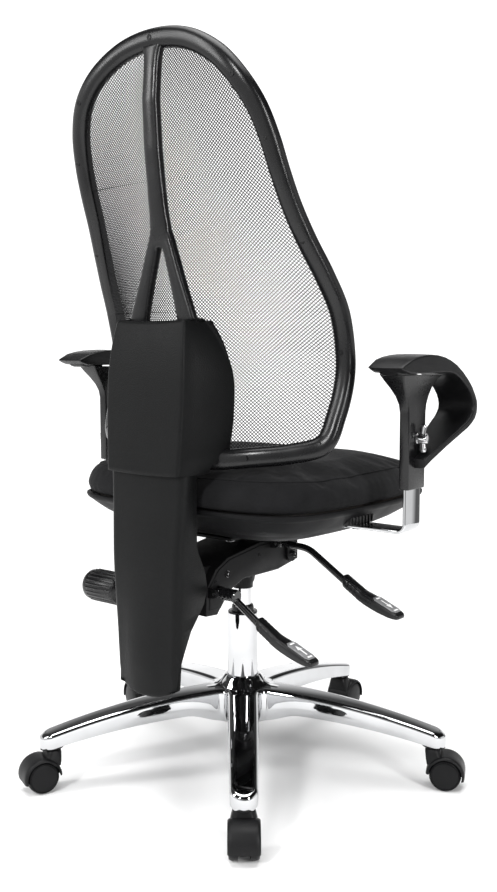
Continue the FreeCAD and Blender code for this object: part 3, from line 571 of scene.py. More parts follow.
def starBase():
    rows = [armRow(*station) for station in armStations()]
    count = len(rows[0])
    points = [p for row in rows for p in row]
    faces = []
    for i in range(len(rows) - 1):
        for j in range(count - 1):
            a = i * count + j
            faces.append((a, a + 1, a + count + 1, a + count))
    for i in range(len(rows) - 10, len(rows) - 1):
        a = i * count
        faces.append((a, a + count, a + 2 * count - 1, a + count - 1))
    half = (points, faces)
    other = ([(x, -y, z) for x, y, z in points], [tuple(reversed(f)) for f in faces])
    arms = []
    for i in range(base["arms"]):
        turn = math.radians(base["firstAngle"] + i * 360.0 / base["arms"])
        arms.append(turnedShape(half, turn))
        arms.append(turnedShape(other, turn))
    makePiece("starBase", joined(*arms), "base", "chrome", ["star_base"], sharp=50)
    rings = []
    profile = [(8.2, 68.2), (12.0, 68.6), (18.2, 69.2), (18.6, 67.8), (17.4, 66.4), (14.2, 65.1),
               (8.2, 65.0)]
    for i in range(base["arms"]):
        turn = math.radians(base["firstAngle"] + i * 360.0 / base["arms"])
        centre = (base["circle"] * math.cos(turn), base["circle"] * math.sin(turn), 0)
        rings.append(revolve(profile, centre, steps=32))
    makePiece("tipRings", joined(*rings), "base", "black_plastic", ["castor_sockets"])


starBase()
print("base made")

# ---- castors

castor = {"turns": (0.0, 4.0, 0.0, -7.0, 9.0), "trail": 20.0, "radius": 25.0, "hoodRadius": 30.4,
          "hoodInner": 27.3, "webRadius": 28.2, "webHalf": 2.5, "halfWidth": 22.8, "wheelNear": 3.3,
          "wheelFar": 21.8, "top": 64.4}


def castorHood():
    half = castor["halfWidth"]
    outer = castor["hoodRadius"]
    inner = castor["hoodInner"]
    upper = [(-half, 26.0), (-half, 27.4), (-half + 1.2, 28.9), (-half + 3.6, 30.0), (-half + 7, outer),
             (-6, outer), (6, outer), (half - 7, outer), (half - 3.6, 30.0), (half - 1.2, 28.9),
             (half, 27.4), (half, 26.0)]
    lower = [(half - 1.3, 26.2), (half - 2.4, inner), (6, inner), (-6, inner), (-half + 2.4, inner),
             (-half + 1.3, 26.2)]
    rings = []
    steps = 30
    for i in range(steps + 1):
        turn = math.radians(mix(-14.0, 177.0, i / steps))
        swell = 1.0 - 0.012 * ease(abs(i / steps - 0.5), 0.42, 0.5)
        rings.append([(castor["trail"] + r * swell * math.cos(turn), y,
                       castor["radius"] + r * swell * math.sin(turn))
                      for y, r in upper + lower])
    shell = loft(rings)
    web = []
    for i in range(25):
        turn = math.radians(mix(-13.0, 193.0, i / 24))
        web.append((castor["trail"] + castor["webRadius"] * math.cos(turn), -castor["webHalf"],
                    castor["radius"] + castor["webRadius"] * math.sin(turn)))
    plate = prismShape(web, (0, 2 * castor["webHalf"], 0))
    neck = []
    for z, halfX, halfY, corner, shift in ((41.0, 13.0, 19.5, 5.0, 4.0), (48.0, 13.0, 19.0, 6.0, 2.5),
                                           (55.0, 12.6, 17.5, 8.0, 1.0), (60.0, 12.2, 16.2, 9.0, 0.0),
                                           (63.2, 12.0, 15.6, 10.0, 0.0), (castor["top"], 11.0, 14.4,
                                                                           10.5, 0.0)):
        neck.append([(x + shift, y, z) for x, y in roundedRect(halfX, halfY, corner, 5)])
    return joined(shell, plate, loft(neck))


def castorWheel(side):
    near = castor["wheelNear"]
    far = castor["wheelFar"]
    profile = [(3.2, near), (11.5, near), (12.0, near + 4.6), (22.0, near + 5.0), (24.2, near + 5.8),
               (25.0, near + 7.6), (25.0, far - 6.0),
               (24.7, far - 3.6), (23.8, far - 1.6), (22.6, far - 0.6), (22.0, far - 0.5), (21.5,
                                                                                            far - 1.3),
               (21.0, far - 0.6), (18.5, far + 0.1), (12.0, far + 0.7), (6.0, far + 1.0), (0.0,
                                                                                           far + 1.1)]
    profile = [(r, side * y) for r, y in profile]
    return revolve(profile, (castor["trail"], 0.0, castor["radius"]), "y", steps=56)


def makeCastors():
    for i, turn in enumerate(castor["turns"]):
        angle = math.radians(base["firstAngle"] + i * 360.0 / base["arms"])
        place = (base["circle"] * math.cos(angle), base["circle"] * math.sin(angle))
        number = str(i + 1)
        hood = turnedShape(castorHood(), angle + math.radians(turn), *place)
        makePiece("castorHood" + number, hood, "castor_" + number, "castor_plastic",
                  ["castor_hood_" + number], sharp=40)
        for side, word in ((1, "left"), (-1, "right")):
            wheel = turnedShape(castorWheel(side), angle + math.radians(turn), *place)
            makePiece("wheel" + word.capitalize() + number, wheel, "wheel_" + word + "_" + number,
                      "wheel_plastic", ["wheel_" + word + "_" + number], sharp=28)


makeCastors()
print("castors made")

# ---- gas lift

lift = {"tube": 25.0, "tubeLow": 58.0, "tubeTop": 258.0, "cylinder": 14.0,
        "cylinderLow": 100.0, "cylinderTop": 352.0}


def makeLift():
    tube = lift["tube"]
    top = lift["tubeTop"]
    foot = lift["tubeLow"]
    profile = [(5.2, 62), (5.2, foot), (tube - 1.5, foot), (tube, 59.5), (tube, top - 0.8),
               (tube - 0.8, top),
               (tube - 2.4, top), (tube - 2.4, 62)]
    makePiece("columnTube", revolve(profile + [profile[0]], (0, 0, 0), steps=96), "base", "chrome",
              ["gas_tube"])
    ring = [(14.1, 178), (22.4, 178), (22.4, top + 0.2), (24.0, top + 0.4), (24.4, top + 1.2),
            (23.8, top + 2.0),
            (19.6, top + 2.4), (18.8, top + 3.2), (18.2, top + 9.0), (17.6, top + 11.4), (16.6,
                                                                                          top + 12.6),
            (15.2, top + 13.0), (14.1, top + 11.8), (14.1, 178)]
    makePiece("guideRing", revolve(ring, (0, 0, 0), steps=72), "base", "black_plastic", ["tube_guide"])
    low = lift["cylinderLow"]
    high = lift["cylinderTop"]
    r = lift["cylinder"]
    piston = [(5.1, low), (r - 1.0, low), (r, low + 1.0), (r, high - 1.0), (r - 1.0, high), (0, high)]
    inner = [(12.4, low + 12), (5.1, low + 12)]
    wall = revolve(inner[::-1] + [(12.4, 340.0), (0.0, 340.0)], (0, 0, 0), steps=64)
    neck = revolve([(5.1, low), (5.1, low + 12)], (0, 0, 0), steps=64)
    body = revolve(piston, (0, 0, 0), steps=64)
    openFaces = [f for f in body[1] if len(f) == 4]
    inside = [f for f in wall[1] if len(f) == 4]
    side = [f for f in neck[1] if len(f) == 4]
    makePiece("liftCylinder", joined((body[0], openFaces), (wall[0], inside), (neck[0], side)),
              "mechanism", "polished_steel", ["gas_cylinder"])


makeLift()
print("gas lift made")

# ---- tilt mechanism

housing = {"half": 50.0, "coneLow": 299.0, "coneRadius": 17.0, "pivots": ((-62.0, 352.0), (100.0, 345.0)),
           "leverY": (-20.0, 132.0), "leverPivot": ((-62.0, 377.0), (-62.0, 323.0))}


def boltHead(radius, height, centre, axis="x"):
    # domed head with a round recess
    profile = [(radius * 1.25, 0), (radius * 1.25, height * 0.25), (radius, height * 0.3),
               (radius * 0.96, height * 0.75), (radius * 0.8, height), (radius * 0.5, height),
               (radius * 0.45, height * 0.45), (0, height * 0.45)]
    return revolve(profile, centre, axis, 30)


def makeHousing():
    side = [(-84, 340), (-84, 378), (-60, 384), (20, 382), (98, 370), (126, 356), (147, 328),
            (149, 287), (122, 285), (96, 316), (58, 330), (-30, 330)]
    half = housing["half"]
    body = prismShape([(-half, y, z) for y, z in side], (2 * half, 0, 0))
    rib = []
    for x in (-half - 1.2, half - 0.8):
        rib.append(prismShape([(x, y * 0.94 + 1.5, (z - 345) * 0.86 + 345) for y, z in side],
                              (2.0, 0, 0)))
    makePiece("mechHousing", joined(body, *rib), "mechanism", "black_steel", ["mech_housing"], bevel=3.5)
    low = housing["coneLow"]
    cone = housing["coneRadius"]
    profile = [(14.15, low), (cone - 0.6, low), (cone, low + 0.8), (cone + 0.2, low + 8),
               (cone + 2.5, low + 12),
               (cone + 4.5, low + 26), (cone + 9, low + 33), (14.15, low + 33), (14.15, low)]
    ears = []
    for y, (x, z) in zip(housing["leverY"], housing["leverPivot"]):
        for side in (-1, 1):
            near = y + side * 8.4
            outline = [(-half + 2, near, z - 8), (x, near, z - 7), (x - 5, near, z - 4.5),
                       (x - 7, near, z),
                       (x - 5, near, z + 4.5), (x, near, z + 7), (-half + 2, near, z + 8)]
            ears.append(prismShape(outline, (0, side * 4.0, 0)))
    makePiece("mechEars", joined(revolve(profile, (0, 0, 0), steps=60), *ears), "mechanism",
              "black_steel",
              bevel=0.8)
    heads = []
    for y, z in housing["pivots"]:
        for side in (-1, 1):
            reach = 61.0 if y < 0 else 53.0
            head = boltHead(4.8, 3.4, (reach - 2.0, y, z))
            heads.append(head if side > 0 else mirroredShape(head))
    for y, z in ((20.0, 362.0), (128.0, 338.0)):
        head = boltHead(2.6, 1.8, (half + 0.6, y, z))
        heads.extend((head, mirroredShape(head)))
    makePiece("housingBolts", joined(*heads), "mechanism", "black_steel")


makeHousing()
print("housing made")

# ---- levers and paddles

lever = {"rod": 5.6, "heightLine": ((-62.0, 377.0), (-118.0, 375.0), (-196.0, 327.0)),
         "lockLine": ((-62.0, 323.0), (-86.0, 322.0), (-147.0, 282.0)), "paddleReach": 94.0,
         "paddleEnd": -32.0, "paddleKnee": -44.0, "kneeDrop": -10.6,
         "paddleTip": -88.0}


def leverRod(y, line):
    pivot, bend, end = [Vector((x, y, z)) for x, z in line]
    first = (pivot - bend).normalized()
    last = (end - bend).normalized()
    path = [tuple(pivot), tuple(bend + first * 14)]
    for i in range(1, 8):
        t = i / 8
        a = bend + first * 14 * (1 - t)
        b = bend + last * 14 * t
        path.append(tuple(a * (1 - t) + b * t))
    path.append(tuple(bend + last * 14))
    path.append(tuple(end + last * 24))
    ring = [(lever["rod"] * math.cos(a), lever["rod"] * math.sin(a))
            for a in [2 * math.pi * i / 20 for i in range(20)]]
    rod = sweep(path, lambda share: ring)
    barrel = revolve([(2.6, -7.6), (6.4, -7.6), (7.0, -7.0), (7.0, 7.0), (6.4, 7.6), (2.6, 7.6),
                      (2.6, -7.6)],
                     (pivot.x, y, pivot.z), "y", steps=32)
    if y < 60.0:
        return joined(rod, barrel)
    collar = []
    for i in range(17):
        along = pivot.x - 6.0 - i * 1.9
        swell = 9.6 if i % 4 < 3 else 8.9
        collar.append((swell if 0 < i < 16 else 8.0, along))
    boss = revolve([(r, x) for r, x in collar], (0.0, y, pivot.z), "x", steps=28)
    return joined(rod, barrel, boss)


def paddleShape(y, line):
    endX, endZ = line[2]
    reach = lever["paddleReach"]
    end = lever["paddleEnd"]
    upper = [(-reach, end), (-88.0, end + 3.5), (-44.0, -10.0), (-28.0, -5.0), (-12.0, 5.0), (8.0, 17.0)]
    under = [(-reach, end - 6.0), (-80.0, -38.5), (-52.0, -32.0), (-28.0, -24.0), (-8.0, -12.0),
             (8.0, -2.5)]
    wide = [(-reach, 10.0), (-90.0, 12.6), (-72.0, 13.6), (-50.0, 13.6), (-32.0, 12.0), (-14.0, 10.8),
            (8.0, 10.4)]
    rings = []
    stations = [8, 6, 3, 0, -3, -6, -9, -12, -15, -19, -24, -32, -42, -54, -64, -74, -82, -88, -92,
                -reach]
    for i, x in enumerate(stations):
        top = alongTable(upper, x)[0]
        low = alongTable(under, x)[0]
        half = alongTable(wide, x)[0]
        swell = 1.07 if 1 <= i <= 9 and i % 2 else 1.0
        if i in (0, len(stations) - 1):
            swell = 0.8
        rise = (top - low) / 2 * swell
        middle = (top + low) / 2
        corner = min(rise, half * swell) * 0.72
        rings.append([(endX + x, y + a, endZ + middle + b)
                      for a, b in roundedRect(half * swell, rise, corner, 4)])
    return loft(rings)


def paddleTop(x):
    knee = lever["paddleKnee"]
    return mix(lever["kneeDrop"], lever["paddleEnd"] + 3.5, (x - knee) / (lever["paddleTip"] - knee))


def paddleFace(y, line, rise):
    # thin plate that follows the paddle's top
    endX, endZ = line[2]
    points = []
    for i in range(10):
        x = -48.0 - i * 4.4
        points.append((endX + x, endZ + paddleTop(x)))
    rings = []
    for i, (x, z) in enumerate(points):
        half = 10.0 - (3.0 if i in (0, len(points) - 1) else 0.0)
        rings.append([(x, y - half, z - 1.0), (x, y + half, z - 1.0), (x, y + half, z + rise),
                      (x, y - half, z + rise)])
    return loft(rings)


def paddleMarks(y, line, upward):
    # generic arrow and two bars, raised a little
    endX, endZ = line[2]

    def onTop(x, v, rise):
        return (endX + x, y + v, endZ + paddleTop(x) + rise)

    sign = 1 if upward else -1
    arrow = [(-58, -1.3), (-70, -1.3), (-70, -5.0), (-79, 0), (-70, 5.0), (-70, 1.3), (-58, 1.3)]
    shapes = []
    middle = -68.5
    outline = [(middle + sign * (x - middle), v) for x, v in arrow]
    low = [onTop(x, v, 0.8) for x, v in outline]
    high = [onTop(x, v, 1.5) for x, v in outline]
    shapes.append(loft([low, high]))
    for x in (-52.5, -84.0):
        bar = [(x - 1.2, -5.0), (x + 1.2, -5.0), (x + 1.2, 5.0), (x - 1.2, 5.0)]
        shapes.append(loft([[onTop(a, b, 0.8) for a, b in bar], [onTop(a, b, 1.5) for a, b in bar]]))
    return joined(*shapes)


def makeLevers():
    for name, y, line, upward in (("height", -20.0, lever["heightLine"], True),
                                  ("lock", 132.0, lever["lockLine"], False)):
        body = name + "_lever"
        makePiece(name + "Rod", leverRod(y, line), body, "black_lever", [name + "_lever_rod"], sharp=50)
        makePiece(name + "Paddle", paddleShape(y, line), body, "black_plastic", [name + "_lever_paddle"],
                  sharp=40, smooth=1)
        makePiece(name + "Plate", paddleFace(y, line, 1.2), body, "black_plastic", bevel=0.5,
                  material=finishes["greyPlate"])
        makePiece(name + "Marks", paddleMarks(y, line, upward), body, "black_plastic",
                  material=finishes["markPrint"])


makeLevers()
print("levers made")

# ---- tension knob, its ribs by Geometry Nodes

knob = {"axisY": 136.0, "axisZ": 298.0, "radius": 25.4, "start": 141.0, "length": 76.0, "ribs": 24,
        "ribRadius": 2.1, "ribLength": 58.0, "ribSink": 0.8}


def newTree(name, inputs):
    # a node tree with a Geometry input, the named number inputs and a Geometry output
    tree = bpy.data.node_groups.new(name, "GeometryNodeTree")
    tree.interface.new_socket("Geometry", in_out="INPUT", socket_type="NodeSocketGeometry")
    for label, kind, value in inputs:
        socket = tree.interface.new_socket(label, in_out="INPUT", socket_type=kind)
        if value is not None:
            socket.default_value = value
    tree.interface.new_socket("Geometry", in_out="OUTPUT", socket_type="NodeSocketGeometry")
    start = tree.nodes.new("NodeGroupInput")
    end = tree.nodes.new("NodeGroupOutput")
    return tree, start, end


def endTree(tree, start, end, geometry):
    realize = addNode(tree, "GeometryNodeRealizeInstances", wires={"Geometry": geometry})
    paint = addNode(tree, "GeometryNodeSetMaterial", wires={
        "Geometry": realize.outputs["Geometry"], "Material": start.outputs["Material"]})
    tree.links.new(paint.outputs["Geometry"], end.inputs["Geometry"])


def runTree(obj, tree, values):
    # inputs are set by the socket's identifier before the first evaluation
    modifier = obj.modifiers.new("nodes", "NODES")
    modifier.node_group = tree
    for item in tree.interface.items_tree:
        if item.item_type == "SOCKET" and item.in_out == "INPUT" and item.name in values:
            modifier[item.identifier] = values[item.name]
    plainMesh(obj)


def instanceTree(name, makeInstance, inputs):
    # places what makeInstance builds on every point of the base mesh
    tree, start, end = newTree(name, inputs)
    toPoints = addNode(tree, "GeometryNodeMeshToPoints", wires={"Mesh": start.outputs["Geometry"]})
    onPoints = addNode(tree, "GeometryNodeInstanceOnPoints", wires={
        "Points": toPoints.outputs["Points"], "Instance": makeInstance(tree, start)})
    endTree(tree, start, end, onPoints.outputs["Instances"])
    return tree


def ribInstance(tree, start):
    tube = addNode(tree, "GeometryNodeMeshCylinder", {"Vertices": 10}, {
        "Radius": start.outputs["Radius"], "Depth": start.outputs["Length"]})
    turn = addNode(tree, "GeometryNodeTransform", {"Rotation": (0.0, math.pi / 2, 0.0)},
                   {"Geometry": tube.outputs["Mesh"]})
    return turn.outputs["Geometry"]


def makeKnob():
    centre = (knob["start"], knob["axisY"], knob["axisZ"])
    length = knob["length"]
    r = knob["radius"]
    profile = [(5.1, 0), (r - 3, 0), (r - 1, 0.8), (r, 3), (r, length - 12), (r - 0.8, length - 7),
               (r - 3.2, length - 3.2), (r - 7.5, length - 0.8), (r - 12, length), (0, length)]
    makePiece("tensionKnob", revolve(profile, centre, "x", steps=72), "tension_knob", "black_plastic",
              ["tension_knob"])
    points = []
    middle = knob["start"] + 4 + knob["ribLength"] / 2
    for i in range(knob["ribs"]):
        turn = 2 * math.pi * i / knob["ribs"]
        points.append((middle, knob["axisY"] + (r - knob["ribSink"]) * math.cos(turn),
                       knob["axisZ"] + (r - knob["ribSink"]) * math.sin(turn)))
    ribs = pointsObject("knobRibs", points)
    tree = instanceTree("knobRibTree", ribInstance, [
        ("Radius", "NodeSocketFloat", 0.002), ("Length", "NodeSocketFloat", 0.05),
        ("Material", "NodeSocketMaterial", None)])
    runTree(ribs, tree, {"Radius": knob["ribRadius"] * mm, "Length": knob["ribLength"] * mm,
                         "Material": finishes["black_plastic"]})
    finishPiece(ribs, "tension_knob", "black_plastic", bevel=0.8)


makeKnob()
print("tension knob made")

# ---- seat

seat = {"half": 240.0, "rear": 184.0, "front": -272.0, "rim": 457.0, "low": 402.0, "wall": 3.5,
        "waterfall": 20.0, "voxel": 6.0, "pressure": 3.0, "cap": 7.0, "frames": 18,
        "clothMass": 0.3, "tension": 30.0, "compression": 60.0, "bending": 12.0}


def seatRing(inset, z, steps=12):
    wide = seat["half"] - inset
    rear = seat["rear"] - inset
    front = seat["front"] + inset
    deep = rear - front
    half = [(0.52, rear - 1.5), (0.84, rear - 0.062 * deep), (0.965, rear - 0.2 * deep),
            (1.0, rear - 0.45 * deep), (0.975, front + 0.3 * deep), (0.86, front + 0.115 * deep),
            (0.55, front + 0.025 * deep)]
    right = [(-share * wide, y) for share, y in half]
    left = [(share * wide, y) for share, y in reversed(half)]
    line = smoothLine([(0.0, rear)] + right + [(0.0, front)] + left, steps, closed=True)
    return [(x, y, z) for x, y in line]


def frontDrop(y):
    share = max(0.0, (-y - 95.0) / 177.0)
    return share * share * seat["waterfall"]


def cushionStart(swell):
    # slightly smaller than the finished cushion, because the foam swells
    levels = [(12, 456.4), (9, 456.8), (5.5, 458.2), (1.5, 461.0), (-1, 466), (-1, 474), (1, 484),
              (5, 494), (11, 501.5), (20, 507.0),
              (34, 510.5), (58, 513.0), (90, 514.8), (130, 516.0), (180, 516.6)]
    rings = []
    for inset, z in levels:
        ring = []
        for x, y, h in seatRing(inset + swell, z):
            share = ease(z, 470, 512)
            dip = frontDrop(y) * share
            ring.append((x, y, h - dip))
        rings.append(ring)
    return loft(rings)


def simulateCushion(obj):
    remesh = obj.modifiers.new("remesh", "REMESH")
    remesh.mode = "VOXEL"
    remesh.voxel_size = seat["voxel"] * mm
    plainMesh(obj)
    before = [v.co.copy() for v in obj.data.vertices]
    cloth = obj.modifiers.new("cloth", "CLOTH")
    settings = cloth.settings
    settings.quality = 5
    settings.mass = seat["clothMass"]
    settings.tension_stiffness = seat["tension"]
    settings.compression_stiffness = seat["compression"]
    settings.bending_stiffness = seat["bending"]
    settings.use_pressure = True
    settings.uniform_pressure_force = seat["pressure"]
    settings.effector_weights.gravity = 0.0
    low = (seat["rim"] + 4.0) * mm
    held = obj.vertex_groups.new(name="held")
    held.add([v.index for v in obj.data.vertices if v.co.z < low], 1.0, "REPLACE")
    settings.vertex_group_mass = "held"
    cloth.point_cache.frame_start = 1
    cloth.point_cache.frame_end = seat["frames"]
    scene = bpy.context.scene
    for step in range(1, seat["frames"] + 1):
        scene.frame_set(step)
    plainMesh(obj)
    scene.frame_set(1)
    limit = seat["cap"] * mm
    for vertex, start in zip(obj.data.vertices, before):
        move = vertex.co - start
        if move.length > limit:
            vertex.co = start + move * (limit / move.length)
    obj.vertex_groups.clear()


def makeCushion():
    cushion = meshObject("seatCushion", cushionStart(3.0))
    simulateCushion(cushion)
    finishPiece(cushion, "seat", "seat_fabric", ["seat_cushion"], sharp=180,
                smooth=1)
    # piping along the edge of the top, laid on the finished foam
    tree = BVHTree.FromObject(cushion, bpy.context.evaluated_depsgraph_get())
    line = []
    for x, y, z in seatRing(15.0, 506.0):
        outward = Vector((x, y, 0)).normalized() * 0.03
        start = Vector((x * mm, y * mm, (z - frontDrop(y)) * mm))
        hit = tree.ray_cast(start + outward + Vector((0, 0, 0.02)),
                            -(outward + Vector((0, 0, 0.02))).normalized())
        place = hit[0] if hit[0] else start
        line.append(tuple(c / mm for c in place))
    ring = [(1.5 * math.cos(a), 1.5 * math.sin(a)) for a in [2 * math.pi * i / 8 for i in range(8)]]
    makePiece("seatPiping", sweep(line, lambda share: ring, (0, 0, 1), closed=True), "seat",
              "seat_fabric",
              sharp=180)


def makeShell():
    rim = seat["rim"]
    low = seat["low"]
    outer = [(2.0, rim + 0.3), (0.3, rim - 0.6), (0.0, rim - 3), (1.2, rim - 6.0), (3.0, rim - 8.4),
             (4.2, rim - 9.0), (7, rim - 11.5), (14, rim - 18), (26, rim - 28), (42, rim - 38.0),
             (44.5, rim - 38.6), (47, rim - 40.4), (62, rim - 47.5), (80, low + 2), (92, low), (130, low)]
    wall = seat["wall"]
    inner = [(134, low + wall), (94, low + wall), (66, rim - 44.5), (46, rim - 36), (30, rim - 24.5),
             (18, rim - 14.5), (10.5, rim - 8), (6.0, rim - 1.0), (3.6, rim + 0.3)]
    rings = [seatRing(inset, z, 10) for inset, z in outer[::-1] + inner[::-1]]
    makePiece("seatShell", loft(rings), "seat", "black_plastic", ["seat_shell"], sharp=40,
              material=finishes["shell_plastic"])


makeCushion()
makeShell()
print("seat made")

# ---- armrests; the right one is made and mirrored for the left

armrest = {"strapX": 310.0, "strapThick": 5.0, "strapHalf": 21.0, "strapLow": 423.0, "strapInner": 150.0,
           "strapTop": 598.0, "bend": 13.0, "centreY": -9.0, "padInner": 289.0, "padWidth": 62.0,
           "padTop": 684.0, "clampZ": 563.0, "clampFace": -318.3}


def bothSides(name, shape, bodies, slotName, nodes, **look):
    # bodies and nodes are (right, left); the left piece is the right one mirrored
    made = []
    for side, flip in ((0, False), (1, True)):
        part = mirroredShape(shape) if flip else shape
        word = ("Right", "Left")[side]
        replaced = [n + ("_right", "_left")[side] for n in nodes]
        made.append(makePiece(name + word, part, bodies[side], slotName, replaced, **look))
    return made


def strapShape():
    a = armrest
    outer = -(a["strapX"] + a["strapThick"] / 2)
    low = a["strapLow"]
    half = a["strapThick"] / 2
    centre = [(-a["strapInner"], low + half)]
    bend = a["bend"]
    for i in range(13):
        turn = math.pi / 2 * i / 12
        centre.append((outer + half + bend - bend * math.sin(turn),
                       low + half + bend - bend * math.cos(turn)))
    centre.append((outer + half, a["strapTop"]))
    path = [(x, a["centreY"], z) for x, z in centre]
    section = roundedRect(half, a["strapHalf"], 1.2, 3)
    return sweep(path, lambda share: section)


def sleeveShape():
    # (height, half thickness, front, rear)
    levels = [(489.0, 7.2, -32.6, 14.6), (490.2, 7.9, -33.6, 15.6), (600, 8.0, -34.0, 16.0),
              (612, 8.4, -35.5, 18.5), (624, 10.0, -39.0, 25.0), (636, 13.0, -43.0, 35.0),
              (647, 17.0, -50.0, 45.0), (655, 20.0, -58.0, 51.0), (659, 20.5, -61.0, 52.0)]
    rings = []
    for z, half, front, rear in levels:
        middle = (front + rear) / 2
        reach = (rear - front) / 2
        ring = [(-armrest["strapX"] + a, middle + b, z) for a, b in roundedRect(half, reach, 3.2, 4)]
        if z > 640:
            ring = [(x, y, min(h, armrest["padTop"] - 27 - 0.0032 * max(0.0, -y - 20) ** 2)) for x, y,
                    h in ring]
        rings.append(ring)
    return loft(rings)


padOuter = [(85, -17.5), (80, -14.0), (62, -6.5), (45, -3), (25, -0.8), (6, 0), (-12, -1.2), (-30, -4),
            (-48, -9),
            (-66, -16), (-84, -26), (-101, -38), (-114, -49.5), (-124, -62), (-129.5, -71), (-131, -80),
            (-129.5, -89.5), (-124, -98), (-115, -105), (-104, -112), (-70, -129.5), (-35, -147), (-2,
                                                                                                   -163)]
padInner = [(-1, -150.5), (-35, -134), (-70, -116.5), (-98, -102), (-108, -96), (-114.5, -90),
            (-119, -84),
            (-120, -78), (-118, -71), (-113, -63), (-104, -54), (-93, -46), (-78, -37), (-62,
                                                                                         -30), (-50, -27),
            (-20, -26), (20, -26), (52, -26), (66, -25.0), (77, -21.5)]


def padShape():
    top = armrest["padTop"]
    outline = padOuter + padInner
    count = len(outline)
    normals = []
    for i in range(count):
        a = outline[i - 1]
        b = outline[(i + 1) % count]
        length = math.dist(a, b) or 1.0
        normals.append(((b[1] - a[1]) / length, -(b[0] - a[0]) / length))
    rings = []
    near = -armrest["padInner"]
    width = armrest["padWidth"]
    # (distance from the inner edge, inset)
    stations = [(0.0, 2.3), (0.4, 1.3), (1.2, 0.5), (2.6, 0.1), (7.0, 0.0), (16.0, -0.4), (31.0, -0.6),
                (46.0, -0.4), (55.0, 0.0), (59.4, 0.1), (60.8, 0.5), (61.6, 1.3), (width, 2.3)]
    for across, inset in stations:
        ring = []
        for (y, z), (ny, nz) in zip(outline, normals):
            ring.append((near - across, y - ny * inset, top + z - nz * inset))
        rings.append(ring)
    return rings


def makePad():
    rings = padShape()
    # narrower at the rear and where the strip runs down to the sleeve
    shaped = []
    for ring in rings:
        line = []
        for x, y, z in ring:
            share = (x + armrest["padInner"] + armrest["padWidth"] / 2) / (armrest["padWidth"] / 2)
            pull = 3.0 * ease(y, 55, 86) + 16.0 * (1 - ease(z, 528, 585))
            line.append((x - share * pull, y, z))
        shaped.append(line)
    bothSides("armPad", loft(shaped), ("armrest_right", "armrest_left"), "arm_pad", ["arm_pad"], sharp=60)
    # stepped ledge under the rear lip and the seam round the flare
    ledge = []
    for z, halfX, front, rear in ((655.0, 15.0, 20.0, 64.0), (657.0, 17.5, 20.0, 69.0),
                                  (661.5, 19.0, 20.0, 73.0)):
        middle = (front + rear) / 2
        reach = (rear - front) / 2
        ledge.append([(-armrest["strapX"] - 8 + a, middle + b, z) for a,
                      b in roundedRect(halfX, reach, 6, 4)])
    bothSides("padLedge", loft(ledge), ("armrest_right", "armrest_left"), "arm_pad", [])


def clampShape():
    face = armrest["clampFace"]
    y = armrest["centreY"]
    z = armrest["clampZ"]

    def star(turn, along):
        return 1.0 + (0.07 * math.cos(6 * turn) if 3.0 < -along < 15.0 else 0.0)

    profile = [(3.1, 0), (8.4, 0), (8.8, -0.8), (8.8, -2.4), (7.2, -3.2), (7.2, -14.6), (6.6, -16.2),
               (4.5, -17.0),
               (0, -17.2)]
    hub = revolve(profile, (face, y, z), "x", steps=48, radiusAt=star)
    wings = []
    for side in (-1, 1):
        rings = []
        for reach, x, halfX, halfY in ((2.0, -8.0, 4.6, 3.0), (8.0, -8.4, 4.4, 2.7),
                                       (12.0, -9.0, 4.8, 2.5),
                                       (16.0, -9.6, 5.0, 2.4), (19.0, -9.8, 4.2, 2.1), (20.6, -9.8, 2.2,
                                                                                        1.2)):
            rings.append([(face + x + a, y + b, z + side * reach)
                          for a, b in roundedRect(halfX, halfY, halfY * 0.85, 4)])
        wings.append(loft(rings))
    return joined(hub, *wings)


def bracketShape():
    inner = 186.0
    outer = 226.0
    low = 428.0
    top = 444.0
    y = armrest["centreY"]
    half = armrest["strapHalf"] + 9.5
    block = boxShape((-outer, y - half, low), (-inner, y + half, top))
    ribs = []
    for i in range(7):
        at = y - half + 4 + i * (2 * half - 8) / 6
        ribs.append(boxShape((-outer - 1.6, at - 1.1, low), (-outer + 1, at + 1.1, top - 1)))
    for i in range(5):
        at = -outer + 4 + i * 8.0
        ribs.append(boxShape((at - 1.1, y - half - 1.6, low), (at + 1.1, y - half + 1, top - 1)))
        ribs.append(boxShape((at - 1.1, y + half - 1, low), (at + 1.1, y + half + 1.6, top - 1)))
    return joined(block, *ribs)


def makeArmrests():
    armBodies = ("armrest_right", "armrest_left")
    bothSides("armStrap", strapShape(), ("seat", "seat"), "polished_steel", ["arm_strap"], sharp=50,
              material=finishes["chrome"])
    bothSides("armSleeve", sleeveShape(), armBodies, "black_plastic", ["arm_sleeve"], sharp=50)
    makePad()
    bothSides("clampKnob", clampShape(), ("arm_clamp_right", "arm_clamp_left"), "polished_steel",
              ["clamp_knob"], sharp=45)
    shape = bracketShape()
    makePiece("armBrackets", joined(shape, mirroredShape(shape)), "seat", "black_plastic",
              ["arm_brackets"],
              bevel=0.5)


makeArmrests()
print("armrests made")

# ---- column cover

column = {"low": 178.0, "halfTop": 76.0, "halfLow": 59.0}
columnLevels = [(178.0, 221.0, 236.0), (222.0, 219.0, 240.0), (250.0, 208.0, 240.0),
                (278.0, 196.0, 239.0),
                (312.0, 170.0, 238.0), (336.0, 163.0, 237.0), (362.0, 169.0, 236.0), (400.0, 189.0,
                                                                                      234.0),
                (450.0, 192.5, 231.0), (512.0, 195.0, 228.0), (600.0, 190.4, 223.4)]


